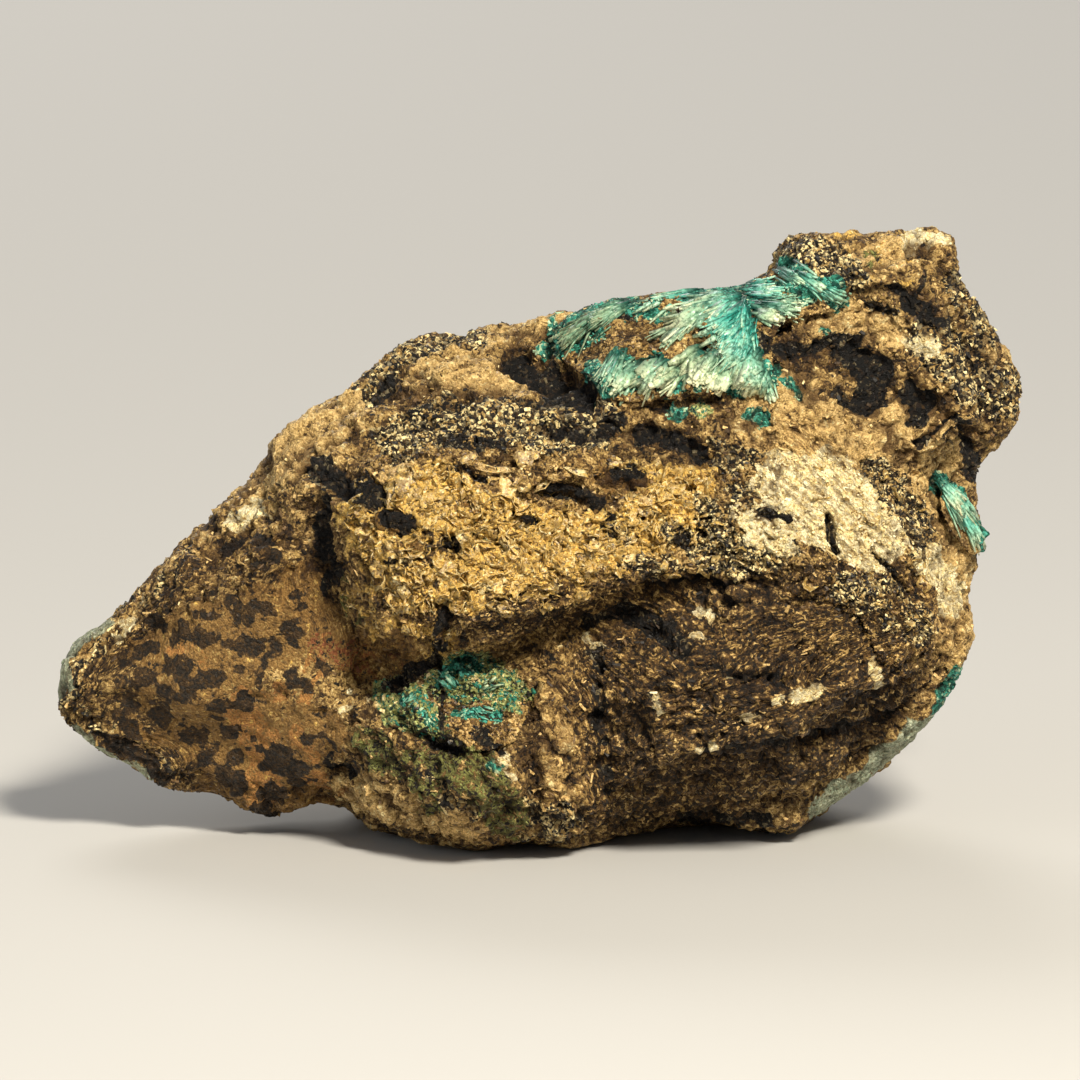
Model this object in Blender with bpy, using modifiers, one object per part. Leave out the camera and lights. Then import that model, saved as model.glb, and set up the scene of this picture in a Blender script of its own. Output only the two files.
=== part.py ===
"""Aurichalcite with hemimorphite on a limonite matrix: a loose mineral specimen 90 mm long.

Lengths are in metres, +Z is up and the front looks towards -Y. The specimen rests on a flat
broken face, and the origin is on its plane, below the middle of the specimen.

The forms of the front are placed by picture points: (across, down) on a front view of
1080 by 1080 points, in which the specimen is 972 points long. That view looks down on the
specimen by VIEW_TILT, so the shape is made square to the view and then leans back.
"""

import math

import bmesh
import bpy
import numpy as np
from mathutils import Matrix, Vector, noise
from mathutils.bvhtree import BVHTree

MM = 0.001

# Driving dimensions
LENGTH = 90 * MM
FRONT_DEPTH = 15 * MM
BACK_DEPTH = 17 * MM
RIM_HALF = 2 * MM
SHOULDER = 17 * MM
FRONT_ROUNDNESS = 2.1
CREST_FORWARD = 7 * MM
BACK_ROUNDNESS = 2.0
FOOT_ROUNDNESS = 4.5
BASE_BELOW = 27.2 * MM
CENTRE_SHIFT = (-0.1 * MM, 0.9 * MM)
VIEW_TILT = math.radians(10)
GAP = 0.3 * MM

# The front view
LEFT_END, RIGHT_END = 53, 1025
MIDDLE_ACROSS, MIDDLE_DOWN = 539, 540
POINT = LENGTH / (RIGHT_END - LEFT_END)

# Mesh sizes
SLAB_VOXEL = 1.0 * MM
ROCK_VOXEL = 1.0 * MM
CRUST_VOXEL = 0.7 * MM
CLUSTER_VOXEL = 0.3 * MM
ROCK_TRIANGLES = 5100
CRUST_TRIANGLES = 1300

# The specimen's edge in the front view, clockwise from the left tip
OUTLINE = [
    (55, 700), (58, 662), (74, 639), (97, 627), (118, 612), (131, 594), (152, 572), (182, 541),
    (213, 514), (241, 487), (262, 459), (277, 436), (304, 419), (331, 403), (359, 382), (375, 363),
    (394, 350), (421, 337), (452, 333), (490, 327), (522, 320), (560, 314), (587, 309), (613, 306),
    (647, 302), (692, 299), (718, 297), (745, 295), (765, 287), (776, 274), (773, 254), (780, 239),
    (797, 232), (830, 235), (860, 232), (886, 235), (906, 228), (935, 231), (952, 238), (956, 262),
    (960, 286), (976, 300), (991, 319), (1004, 346), (1016, 369), (1025, 386), (1022, 411),
    (1011, 431), (994, 446), (981, 462), (974, 485), (976, 508), (981, 531), (984, 556),
    (979, 572), (968, 581), (965, 600), (973, 616), (976, 634), (968, 652), (961, 667), (957, 687),
    (944, 705), (927, 723), (911, 741), (895, 757), (868, 779), (843, 797), (820, 813), (797, 828),
    (779, 835), (757, 832), (720, 824), (690, 825), (655, 830), (625, 838), (590, 844), (547, 846),
    (528, 838), (513, 841), (495, 848), (474, 853), (455, 846), (430, 842), (395, 836), (372, 833),
    (359, 822), (346, 806), (326, 800), (301, 803), (285, 813), (262, 817), (245, 812), (232, 797),
    (206, 792), (173, 792), (154, 780), (129, 765), (101, 753), (85, 741), (73, 727), (60, 714),
]

# Swellings and hollows of the front: name, centre, half width and half height in mm,
# turn in degrees anticlockwise, rise in mm (a hollow's is negative) and how steep its edge is
FRONT_SWELLINGS = [
    ("crusted boss", (505, 525), 17.0, 9.5, -6, 3.4, 0.35),
    ("boss lower lip", (460, 600), 9.0, 4.0, -4, 1.8, 0.4),
    ("hollow of the spotted face", (270, 690), 15.0, 9.0, 30, -3.2, 0.3),
    ("hollow under the boss", (395, 672), 5.5, 3.6, 20, -3.4, 0.3),
    ("pocket mound", (440, 775), 9.5, 6.5, 0, 2.2, 0.3),
    ("green pocket", (470, 700), 5.0, 3.5, 10, -0.9, 0.3),
    ("pillar", (558, 730), 3.2, 10.0, 2, 1.6, 0.3),
    ("dark block", (760, 680), 17.0, 9.5, 10, 3.4, 0.4),
    ("scoop in the dark block", (722, 628), 7.0, 3.2, -8, -2.0, 0.3),
    ("pale dome", (820, 540), 12.0, 6.0, -12, 1.6, 0.2),
    ("upper right hollow", (885, 375), 9.0, 7.0, -40, -1.6, 0.2),
    ("black grain hollow", (862, 372), 3.2, 3.6, -20, -1.3, 0.4),
    ("knob", (865, 258), 8.5, 3.4, 0, 1.0, 0.3),
    ("knob right corner", (935, 255), 2.6, 3.0, 0, 1.5, 0.3),
    ("right shoulder", (985, 385), 4.5, 6.5, -20, 1.8, 0.2),
    ("right shoulder foot", (965, 430), 4.0, 2.6, 20, 1.4, 0.3),
    ("side lump", (965, 545), 3.0, 4.5, -30, 1.6, 0.2),
    ("lower side lump", (945, 635), 3.0, 3.5, 0, 1.4, 0.2),
    ("black pocket", (548, 376), 4.4, 1.9, -22, -2.6, 0.35),
    ("granular hollow", (470, 420), 9.0, 2.3, 4, -1.2, 0.2),
    ("cavity under the plate", (562, 497), 4.6, 1.6, -12, -2.0, 0.35),
    ("left shoulder", (300, 480), 7.0, 4.0, 38, 1.6, 0.2),
    ("grey hollow", (318, 560), 3.0, 5.0, 10, -1.5, 0.3),
    ("left tip", (85, 690), 4.0, 5.0, 0, 1.2, 0.2),
    ("spray seat", (680, 340), 9.0, 4.6, 4, -1.0, 0.3),
]

# Steps of the front: name, points from left to right, height in mm and how far it is felt in mm.
# The side on the left hand stands proud, so a step that runs to the right overhangs what is below it.
FRONT_STEPS = [
    ("boss lip", [(333, 500), (343, 545), (360, 592), (384, 625), (412, 646), (452, 652), (492, 640),
                  (530, 614), (562, 597), (604, 590)], 5.4, 5.0),
    ("arch", [(636, 596), (660, 579), (690, 572), (712, 588), (730, 606)], 2.4, 2.4),
    ("lower ledge", [(640, 778), (693, 759), (740, 751), (785, 742), (840, 723), (900, 707),
                     (940, 692)], 4.2, 4.0),
    ("lower lip", [(540, 838), (600, 830), (640, 817), (683, 802), (740, 797), (795, 788), (840, 768),
                   (887, 738), (928, 710), (956, 680)], 4.4, 4.0),
    ("plate edge", [(505, 498), (535, 484), (562, 477), (590, 494)], 1.6, 1.8),
    ("upper ridge edge", [(395, 372), (440, 355), (500, 346), (560, 332)], -1.0, 3.0),
]

# Ridges and grooves of the front: name, points, height in mm (a groove's is negative), half width in mm
FRONT_RIDGES = [
    ("left rim", [(84, 720), (112, 668), (152, 618), (202, 568), (252, 518)], 1.4, 1.5),
    ("black crack", [(443, 604), (441, 650), (443, 700), (448, 752)], -1.8, 0.8),
    ("dark groove", [(583, 640), (592, 690), (600, 740), (606, 780)], -2.2, 1.3),
    ("block top crevice", [(570, 634), (594, 613), (632, 604), (664, 622)], -2.0, 1.2),
    ("gully beside the pillar", [(526, 840), (529, 800), (521, 762)], -1.6, 1.0),
    ("scoop rim", [(672, 666), (720, 672), (762, 667), (792, 648), (800, 622)], 1.2, 1.0),
    ("mound ridge", [(346, 741), (380, 712), (420, 686)], 1.4, 1.2),
    ("valley below the knob", [(776, 296), (820, 306), (880, 318), (930, 312)], -0.9, 1.6),
    ("fold of the spotted face", [(330, 800), (342, 760), (335, 720)], -1.2, 1.2),
]

# Swellings and hollows of the back, as on the front, in the same picture points seen from the front
BACK_SWELLINGS = [
    ("back hump", (640, 560), 20.0, 12.0, 15, 3.0, 0.2),
    ("back hollow", (430, 560), 9.0, 6.0, 40, -2.6, 0.2),
    ("back shelf", (780, 720), 13.0, 5.0, 20, 2.2, 0.4),
    ("back upper hollow", (760, 400), 11.0, 5.0, -25, -2.4, 0.3),
    ("back knob", (900, 300), 6.0, 5.0, 0, 1.8, 0.3),
    ("back left flat", (220, 650), 12.0, 6.0, 30, -1.6, 0.3),
    ("back foot", (520, 780), 12.0, 5.0, 0, 2.0, 0.3),
    ("back right hollow", (930, 560), 4.0, 6.0, 0, -1.6, 0.3),
]
BACK_STEPS = [
    ("back ledge", [(300, 640), (400, 610), (520, 640), (640, 660), (760, 640), (900, 600)], 2.6, 4.5),
    ("back upper ledge", [(420, 420), (520, 440), (640, 410), (760, 430)], -2.0, 3.5),
]
BACK_RIDGES = [
    ("back groove", [(600, 460), (640, 540), (620, 640), (660, 740)], -1.8, 1.5),
    ("back rib", [(250, 560), (360, 500), (480, 500)], 1.4, 1.6),
]

# The pale crust: its edge in picture points and how thick it has grown
CRUST_OUTLINE = [
    (352, 500), (366, 470), (388, 448), (420, 432), (456, 436), (494, 440), (530, 432), (566, 446),
    (604, 456), (650, 462), (700, 468), (742, 462), (776, 452), (812, 450), (850, 456), (896, 464),
    (924, 480), (926, 508), (930, 540), (940, 570), (944, 600), (938, 634), (924, 660), (900, 678),
    (876, 672), (862, 644), (842, 618), (806, 600), (760, 584), (716, 572), (668, 574), (624, 588),
    (588, 600), (556, 616), (520, 636), (484, 648), (446, 648), (410, 630), (382, 596), (362, 556),
    (350, 524),
]
CRUST_THICKNESS = 1.8 * MM

# Each aurichalcite cluster: the edge of the crust that joins it, how far back that reaches in mm,
# its sprays as picture points of root and tip with the half width at the tip in mm, and its
# triangles before it is cut to the rock
PAD_THICKNESS = 0.75 * MM
CLUSTERS = {
    "aurichalcite_ridge_sprays": (
        [(548, 330), (582, 308), (618, 297), (655, 292), (700, 289), (742, 285), (768, 272),
         (800, 268), (838, 272), (850, 292), (838, 314), (808, 320), (782, 326), (770, 346),
         (774, 372), (760, 396), (728, 392), (694, 400), (652, 404), (604, 402), (588, 382),
         (562, 362)],
        -4,
        [((736, 305), (704, 348), 3.0), ((745, 315), (728, 374), 2.6), ((752, 335), (752, 398), 2.1),
         ((722, 308), (672, 326), 2.2), ((700, 330), (650, 374), 2.4), ((690, 352), (640, 400), 2.0),
         ((662, 330), (607, 366), 2.2), ((645, 314), (578, 328), 1.8), ((696, 307), (640, 310), 1.5),
         ((636, 360), (600, 396), 1.6), ((752, 300), (806, 303), 1.8), ((757, 302), (795, 318), 1.5),
         ((790, 282), (836, 302), 1.6), ((716, 352), (690, 398), 1.8)],
        1100,
    ),
    "aurichalcite_side_vein": (
        [(938, 482), (962, 478), (976, 486), (976, 508), (981, 531), (985, 552), (968, 556),
         (948, 534), (936, 508)],
        3,
        [((940, 484), (968, 522), 1.5), ((955, 502), (980, 546), 1.4), ((946, 488), (970, 492), 1.1)],
        300,
    ),
    "aurichalcite_pocket_rosette": (
        [(404, 690), (428, 668), (462, 660), (500, 662), (524, 680), (530, 706), (518, 738),
         (488, 750), (452, 744), (420, 730), (402, 712)],
        0,
        [((470, 700), (432, 676), 1.9), ((470, 700), (474, 662), 1.7), ((472, 700), (508, 672), 2.0),
         ((476, 704), (526, 702), 1.9), ((470, 708), (514, 738), 1.9), ((460, 708), (455, 745), 1.7),
         ((455, 706), (410, 716), 1.9)],
        600,
    ),
}
ROOT_LIFT = 0.4 * MM
TIP_LIFT = 2.1 * MM
SPRAY_THICKNESS = 0.45
SPRAY_PLEATS = 5


def face_place(point):
    """The right and up coordinates of a picture point, in metres from the middle of the view."""
    across, down = point
    return (across - MIDDLE_ACROSS) * POINT, (MIDDLE_DOWN - down) * POINT


def lean_back():
    """Turns the shape made square to the front view, and moves it over the origin and up."""
    return Matrix.Translation((*CENTRE_SHIFT, BASE_BELOW)) @ Matrix.Rotation(-VIEW_TILT, 4, "X")


def smooth_step(low, high, value):
    share = np.clip((value - low) / (high - low), 0, 1)
    return share * share * (3 - 2 * share)


def along_line(at, line, closed=False):
    """Each point's distance to a line of picture points, and its side: 1 on the left hand, else -1."""
    ends = np.array([face_place(point) for point in line])
    starts, stops = (ends, np.roll(ends, -1, axis=0)) if closed else (ends[:-1], ends[1:])
    nearest = np.full(len(at), np.inf)
    side = np.ones(len(at))
    for start, stop in zip(starts, stops):
        run = stop - start
        away = at - start
        share = np.clip(away @ run / (run @ run), 0, 1)
        distance = np.linalg.norm(away - share[:, None] * run, axis=1)
        closer = distance < nearest
        nearest[closer] = distance[closer]
        side[closer] = np.sign(run[0] * away[closer, 1] - run[1] * away[closer, 0])
    return nearest, side


def swellings(at, table):
    height = np.zeros(len(at))
    for _, centre, half_width, half_height, turn, rise, edge in table:
        away = at - np.array(face_place(centre))
        cosine, sine = math.cos(math.radians(turn)), math.sin(math.radians(turn))
        along = (away[:, 0] * cosine + away[:, 1] * sine) / (half_width * MM)
        across = (away[:, 1] * cosine - away[:, 0] * sine) / (half_height * MM)
        height += rise * MM * (1 - smooth_step(edge, 1.25, np.hypot(along, across)))
    return height


def steps(at, table):
    height = np.zeros(len(at))
    sharpness = 0.5 * MM
    for _, line, rise, reach in table:
        distance, side = along_line(at, line)
        fade = np.exp(-((distance / (reach * MM)) ** 2))
        height += 0.5 * rise * MM * np.tanh(side * distance / sharpness) * fade
    return height


def ridges(at, table):
    height = np.zeros(len(at))
    for _, line, rise, half_width in table:
        distance, _ = along_line(at, line)
        height += rise * MM * np.exp(-((distance / (half_width * MM)) ** 2))
    return height


def rise_from_edge(inset, roundness):
    """How far the lump has swelled at this distance in from its outline, from 0 to 1."""
    share = np.clip(inset / SHOULDER, 0, 1)
    return (1 - (1 - share) ** roundness) ** (1 / roundness)


def thin_towards_tip(across):
    """The left end is a wedge, and the right end is a little thinner than the middle."""
    tip = 0.42 + 0.58 * smooth_step(-46 * MM, -12 * MM, across)
    shoulder = 1 - 0.22 * smooth_step(22 * MM, 46 * MM, across)
    return tip * shoulder


def over_foot(at):
    """1 just above the resting face, 0 away from it."""
    left = smooth_step(-21 * MM, -14 * MM, at[:, 0])
    right = 1 - smooth_step(22 * MM, 30 * MM, at[:, 0])
    return left * right * (1 - smooth_step(-24 * MM, -10 * MM, at[:, 1]))


def foot_depth(at):
    """How far back the outline lies where it nears the ground: forward at the lowest point."""
    low = 1 - smooth_step(-24 * MM, -14 * MM, at[:, 1])
    forward = np.exp(-(((at[:, 0] + 4 * MM) / (9 * MM)) ** 2))
    return low * (3 * MM - 8 * MM * forward)


def edge_wander(at):
    """The edge of the front view winds forward and back along the rock instead of lying flat."""
    high = smooth_step(-16 * MM, -4 * MM, at[:, 1]) * (1 - 0.7 * smooth_step(24 * MM, 36 * MM, at[:, 0]))
    winding = np.sin(at[:, 0] / (9 * MM) + 1.0) + 0.6 * np.sin(at[:, 0] / (4.1 * MM) - at[:, 1] / (7 * MM))
    crest = smooth_step(0, 8 * MM, at[:, 0]) * smooth_step(4 * MM, 14 * MM, at[:, 1])
    crest *= 1 - smooth_step(36 * MM, 46 * MM, at[:, 0])
    return high * (1.5 * MM + 1.8 * MM * winding) - CREST_FORWARD * crest


def swell(points):
    """Swells a flat slab of the outline into the rock: points are right, back and up."""
    at = points[:, [0, 2]]
    inset, _ = along_line(at, OUTLINE, closed=True)
    share = points[:, 1] / RIM_HALF
    body = thin_towards_tip(at[:, 0])
    back_body = body * (1 - 0.45 * smooth_step(19 * MM, 25 * MM, at[:, 1]))
    back_roundness = BACK_ROUNDNESS + (FOOT_ROUNDNESS - BACK_ROUNDNESS) * over_foot(at)
    near = smooth_step(0.2 * MM, 4.5 * MM, inset)
    front_forms = swellings(at, FRONT_SWELLINGS) + steps(at, FRONT_STEPS) + ridges(at, FRONT_RIDGES)
    back_forms = swellings(at, BACK_SWELLINGS) + steps(at, BACK_STEPS) + ridges(at, BACK_RIDGES)
    front = RIM_HALF + FRONT_DEPTH * body * rise_from_edge(inset, FRONT_ROUNDNESS) + near * front_forms
    back = RIM_HALF + BACK_DEPTH * back_body * rise_from_edge(inset, back_roundness) + near * back_forms
    depth = np.where(share < 0, front, back)
    middle = foot_depth(at) + edge_wander(at) * (1 - 0.8 * smooth_step(2 * MM, 10 * MM, inset))
    swelled = points.copy()
    swelled[:, 1] = middle + share * depth
    return swelled


def read_points(mesh):
    values = np.empty(len(mesh.vertices) * 3, np.float32)
    mesh.vertices.foreach_get("co", values)
    return values.reshape(-1, 3).astype(float)


def read_normals(mesh):
    values = np.empty(len(mesh.vertices) * 3, np.float32)
    mesh.vertex_normals.foreach_get("vector", values)
    return values.reshape(-1, 3).astype(float)


def write_points(mesh, points):
    mesh.vertices.foreach_set("co", points.astype(np.float32).ravel())
    mesh.update()


def add_object(name, mesh, collection):
    made = bpy.data.objects.new(name, mesh)
    collection.objects.link(made)
    return made


def bake(obj):
    """Applies an object's modifiers, or makes a curve a mesh, and welds a curve's loose caps."""
    evaluated = obj.evaluated_get(bpy.context.evaluated_depsgraph_get())
    mesh = bpy.data.meshes.new_from_object(evaluated)
    loose_caps = obj.type == "CURVE"
    name, collection, place = obj.name, obj.users_collection[0], obj.matrix_world.copy()
    bpy.data.objects.remove(obj)
    if loose_caps:
        work = bmesh.new()
        work.from_mesh(mesh)
        bmesh.ops.remove_doubles(work, verts=work.verts, dist=0.001 * MM)
        work.to_mesh(mesh)
        work.free()
    made = add_object(name, mesh, collection)
    made.matrix_world = place
    bpy.context.view_layer.update()
    return made


def even_out(obj, size):
    """Rebuilds the surface from even squares of this size."""
    remesh = obj.modifiers.new("even squares", "REMESH")
    remesh.mode = "VOXEL"
    remesh.voxel_size = size
    return bake(obj)


def thin_out(obj, triangles):
    """Merges faces where the surface is flattest, until about this many triangles are left."""
    work = bmesh.new()
    work.from_mesh(obj.data)
    bmesh.ops.triangulate(work, faces=work.faces)
    work.to_mesh(obj.data)
    work.free()
    decimate = obj.modifiers.new("fewer faces", "DECIMATE")
    decimate.ratio = min(1.0, triangles / len(obj.data.polygons))
    return bake(obj)


def cut(obj, cutter, operation="DIFFERENCE"):
    boolean = obj.modifiers.new(operation.lower(), "BOOLEAN")
    boolean.operation = operation
    boolean.solver = "EXACT"
    boolean.object = cutter
    return bake(obj)


def outline_slab(name, outline, front, back, collection):
    """A flat slab of an outline of picture points, from front to back along Y, square to the view."""
    curve = bpy.data.curves.new(name, "CURVE")
    curve.dimensions = "2D"
    curve.fill_mode = "BOTH"
    curve.extrude = (back - front) / 2
    spline = curve.splines.new("POLY")
    spline.points.add(len(outline) - 1)
    for point, place in zip(spline.points, outline):
        right, up = face_place(place)
        point.co = (right, up, 0, 1)
    spline.use_cyclic_u = True
    slab = bpy.data.objects.new(name, curve)
    collection.objects.link(slab)
    bpy.context.view_layer.update()
    slab = bake(slab)
    slab.data.transform(Matrix.Translation((0, (back + front) / 2, 0)) @ Matrix.Rotation(math.pi / 2, 4, "X"))
    return slab


def rumple(points, wavelength, seed):
    """Soft lumps of about this size, from -1 to 1."""
    shift = Vector((seed * 17.3, seed * 5.1, seed * 9.7))
    return np.array([noise.noise(Vector(point) / wavelength + shift) for point in points])


def roughen(mesh):
    """Gives the rock its lumps. The outline's own edge stays where it is, and the sides are broken."""
    points = read_points(mesh)
    normals = read_normals(mesh)
    at = points[:, [0, 2]]
    inset, _ = along_line(at, OUTLINE, closed=True)
    from_edge = np.hypot(inset, points[:, 1] - foot_depth(at) - edge_wander(at))
    lumps = 1.0 * MM * rumple(points, 8 * MM, 1) + 0.9 * MM * rumple(points, 3.6 * MM, 2)
    free = 0.15 + 0.85 * smooth_step(1 * MM, 6 * MM, from_edge)
    side = smooth_step(2 * MM, 8 * MM, from_edge) * (1 - smooth_step(3 * MM, 9 * MM, inset))
    side *= 1 - over_foot(at)
    broken = side * (2.6 * MM * (0.6 + rumple(points, 11 * MM, 3)) + 1.5 * MM * rumple(points, 5 * MM, 4))
    write_points(mesh, points + normals * (free * lumps - np.maximum(broken, 0))[:, None])


def make_rock(collection, cutters):
    slab = outline_slab("matrix_rock", OUTLINE, -RIM_HALF, RIM_HALF, collection)
    slab = even_out(slab, SLAB_VOXEL)
    write_points(slab.data, swell(read_points(slab.data)))
    rock = even_out(slab, ROCK_VOXEL)
    roughen(rock.data)
    rock = even_out(rock, ROCK_VOXEL)
    rock.data.transform(lean_back())
    rock = thin_out(rock, ROCK_TRIANGLES)
    return cut(rock, ground_cutter(cutters))


def ground_cutter(cutters):
    """A box whose top is the resting plane."""
    side = 2 * LENGTH
    bpy.ops.mesh.primitive_cube_add(size=side, location=(0, 0, -side / 2))
    box = bpy.context.object
    box.name = "ground_cutter"
    for collection in box.users_collection:
        collection.objects.unlink(box)
    cutters.objects.link(box)
    box.hide_render = True
    box.display_type = "WIRE"
    return box


def copy_object(obj, name):
    made = add_object(name, obj.data.copy(), obj.users_collection[0])
    bpy.context.view_layer.update()
    return made


def swollen(rock, name, distance):
    """A copy of the rock with its surface moved outwards."""
    grown = copy_object(rock, name)
    write_points(grown.data, read_points(grown.data) + read_normals(grown.data) * distance)
    return grown


def lumpy_skin(rock, name, distance, outline):
    """A copy of the rock grown outwards in lumps, less and less towards an outline on its front."""
    grown = even_out(copy_object(rock, name), CRUST_VOXEL)
    points = read_points(grown.data)
    turned = np.array(lean_back().inverted())
    at = (points @ turned[:3, :3].T + turned[:3, 3])[:, [0, 2]]
    inset, _ = along_line(at, outline, closed=True)
    share = smooth_step(-1.0 * MM, 3.5 * MM, inset + 1.6 * MM * rumple(points, 3 * MM, 9))
    lumps = 1 + 0.5 * rumple(points, 5 * MM, 7) + 0.45 * rumple(points, 2.2 * MM, 8)
    write_points(grown.data, points + read_normals(grown.data) * (distance * share * lumps)[:, None])
    return even_out(grown, CRUST_VOXEL)


def keep_largest(obj):
    """Removes the crumbs that a cut has left beside the main body."""
    work = bmesh.new()
    work.from_mesh(obj.data)
    unseen = set(work.verts)
    bodies = []
    while unseen:
        body, edge = set(), [unseen.pop()]
        while edge:
            vert = edge.pop()
            body.add(vert)
            near = {link.other_vert(vert) for link in vert.link_edges} & unseen
            unseen -= near
            edge.extend(near)
        bodies.append(body)
    bodies.sort(key=len)
    for body in bodies[:-1]:
        bmesh.ops.delete(work, geom=list(body), context="VERTS")
    work.to_mesh(obj.data)
    work.free()


def make_crust(name, grown, keep_off, outline, triangles, collection):
    """The part of a swollen rock inside an outline on its front, clear of the rock below."""
    window = outline_slab(name, outline, -60 * MM, 3 * MM, collection)
    window.data.transform(lean_back())
    crust = thin_out(even_out(cut(window, grown, "INTERSECT"), CRUST_VOXEL), triangles)
    crust = cut(crust, keep_off)
    keep_largest(crust)
    return crust


def surface_place(tree, point):
    """Where a sight line through a picture point meets the rock."""
    right, up = face_place(point)
    start = lean_back() @ Vector((right, -100 * MM, up))
    sight = lean_back().to_3x3() @ Vector((0, 1, 0))
    place, _, _, _ = tree.ray_cast(start, sight)
    return place, sight


def make_spray(name, tree, root, tip, half_width, collection):
    """A flat pleated cone from its root to its tip, with a ragged mouth."""
    start, sight = surface_place(tree, root)
    end, _ = surface_place(tree, tip)
    start = start - sight * ROOT_LIFT
    end = end - sight * TIP_LIFT
    length = (end - start).length
    bpy.ops.mesh.primitive_cone_add(
        vertices=2 * SPRAY_PLEATS, radius1=0.35 * MM, radius2=half_width * MM, depth=length
    )
    spray = bpy.context.object
    spray.name = name
    for old in spray.users_collection:
        old.objects.unlink(spray)
    collection.objects.link(spray)
    points = read_points(spray.data)
    mouth = points[:, 2] > 0
    turn = np.arctan2(points[:, 1], points[:, 0])
    fold = np.where(np.round(turn * SPRAY_PLEATS / math.pi).astype(int) % 2 == 0, 1.0, 0.72)
    points[:, :2] *= np.where(mouth, fold, 1.0)[:, None]
    points[:, 1] *= SPRAY_THICKNESS
    points[:, 2] -= np.where(mouth, 0.22 * length * np.abs(np.sin(turn * 1.5 + length / MM)), 0)
    write_points(spray.data, points)
    along = (end - start).normalized()
    flat = sight.cross(along).normalized()
    turned = Matrix((flat, along.cross(flat), along)).transposed().to_4x4()
    spray.data.transform(Matrix.Translation((start + end) / 2) @ turned)
    spray.location = (0, 0, 0)
    bpy.context.view_layer.update()
    return spray


def grow_together(parts, name, collection):
    """Joins overlapping solids into one skin."""
    work = bmesh.new()
    for part in parts:
        work.from_mesh(part.data)
        bpy.data.objects.remove(part)
    mesh = bpy.data.meshes.new(name)
    work.to_mesh(mesh)
    work.free()
    return even_out(add_object(name, mesh, collection), CLUSTER_VOXEL)


def make_cluster(name, tree, grown, keep_off, collection):
    """Sprays grown together on one thin crust."""
    outline, back, sprays, triangles = CLUSTERS[name]
    window = outline_slab(name, outline, -60 * MM, back * MM, collection)
    window.data.transform(lean_back())
    parts = [cut(window, grown, "INTERSECT")]
    for root, tip, half_width in sprays:
        parts.append(make_spray(name + "_spray", tree, root, tip, half_width, collection))
    cluster = thin_out(grow_together(parts, name, collection), triangles)
    cluster = cut(cluster, keep_off)
    keep_largest(cluster)
    return cluster


def make_material(name, colour, roughness):
    material = bpy.data.materials.new(name)
    material.use_nodes = True
    shader = material.node_tree.nodes["Principled BSDF"]
    shader.inputs["Base Color"].default_value = (*colour, 1)
    shader.inputs["Roughness"].default_value = roughness
    shader.inputs["Metallic"].default_value = 0
    material.diffuse_color = (*colour, 1)
    return material


def start_collection(name):
    collection = bpy.data.collections.new(name)
    bpy.context.scene.collection.children.link(collection)
    return collection


def main():
    for obj in list(bpy.data.objects):
        bpy.data.objects.remove(obj)
    specimen = start_collection("aurichalcite_with_hemimorphite")
    cutters = start_collection("cutters")
    limonite = make_material("limonite", (0.33, 0.22, 0.10), 0.8)
    hemimorphite = make_material("hemimorphite", (0.78, 0.70, 0.52), 0.45)
    aurichalcite = make_material("aurichalcite", (0.30, 0.62, 0.60), 0.4)
    rock = make_rock(specimen, cutters)
    rock.data.materials.append(limonite)
    tree = BVHTree.FromObject(rock, bpy.context.evaluated_depsgraph_get())
    keep_off = swollen(rock, "keep_off", GAP)
    crust_form = lumpy_skin(rock, "crust_form", CRUST_THICKNESS, CRUST_OUTLINE)
    pad_form = swollen(rock, "pad_form", PAD_THICKNESS)
    crust = make_crust("hemimorphite_crust", crust_form, keep_off, CRUST_OUTLINE, CRUST_TRIANGLES, specimen)
    crust.data.materials.append(hemimorphite)
    for name in CLUSTERS:
        cluster = make_cluster(name, tree, pad_form, keep_off, specimen)
        cluster.data.materials.append(aurichalcite)
    for form in (keep_off, crust_form, pad_form):
        bpy.data.objects.remove(form)


main()
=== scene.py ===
"""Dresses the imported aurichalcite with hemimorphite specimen.

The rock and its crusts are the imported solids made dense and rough. Chips, plates and blades are
built on them. Minerals are laid out in picture points: (across, down) on the photograph's
1080 by 1080 frame, in which the specimen is 972 points long. The back follows noise instead.
"""

import math

import bmesh
import bpy
import numpy as np
from mathutils import Matrix, Vector
from mathutils.bvhtree import BVHTree


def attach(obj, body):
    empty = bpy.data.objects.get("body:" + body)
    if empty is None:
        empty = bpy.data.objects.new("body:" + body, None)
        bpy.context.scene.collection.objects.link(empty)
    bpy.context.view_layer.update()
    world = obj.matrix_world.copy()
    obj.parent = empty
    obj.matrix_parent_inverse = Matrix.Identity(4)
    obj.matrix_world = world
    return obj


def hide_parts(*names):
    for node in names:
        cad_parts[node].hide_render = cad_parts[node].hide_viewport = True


MM = 0.001
FRAME = 1080
POINT = 90 * MM / 972
MIDDLE = np.array((539.0, 540.0))
BASE_BELOW = 27.2 * MM
CENTRE_SHIFT = (-0.1 * MM, 0.9 * MM)
VIEW_TILT = math.radians(10)
LEAN = Matrix.Translation((*CENTRE_SHIFT, BASE_BELOW)) @ Matrix.Rotation(-VIEW_TILT, 4, "X")
TURN = np.array(LEAN.to_3x3())
SIGHT = TURN[:, 1]

ROCK_SQUARE = 0.26 * MM
CRUST_SQUARE = 0.16 * MM
PAD_SQUARE = 0.2 * MM
MOST_TRIANGLES = 194000
# Depths behind the picture's middle plane between which the drawn front gives way to noise
FRONT_ENDS = (1.0 * MM, 8.0 * MM)

RANDOM_SEED = 7456
ROCK_GRAINS = 13500
CRUST_GRAINS = 9000
CRUST_FLAKES = 650
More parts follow.
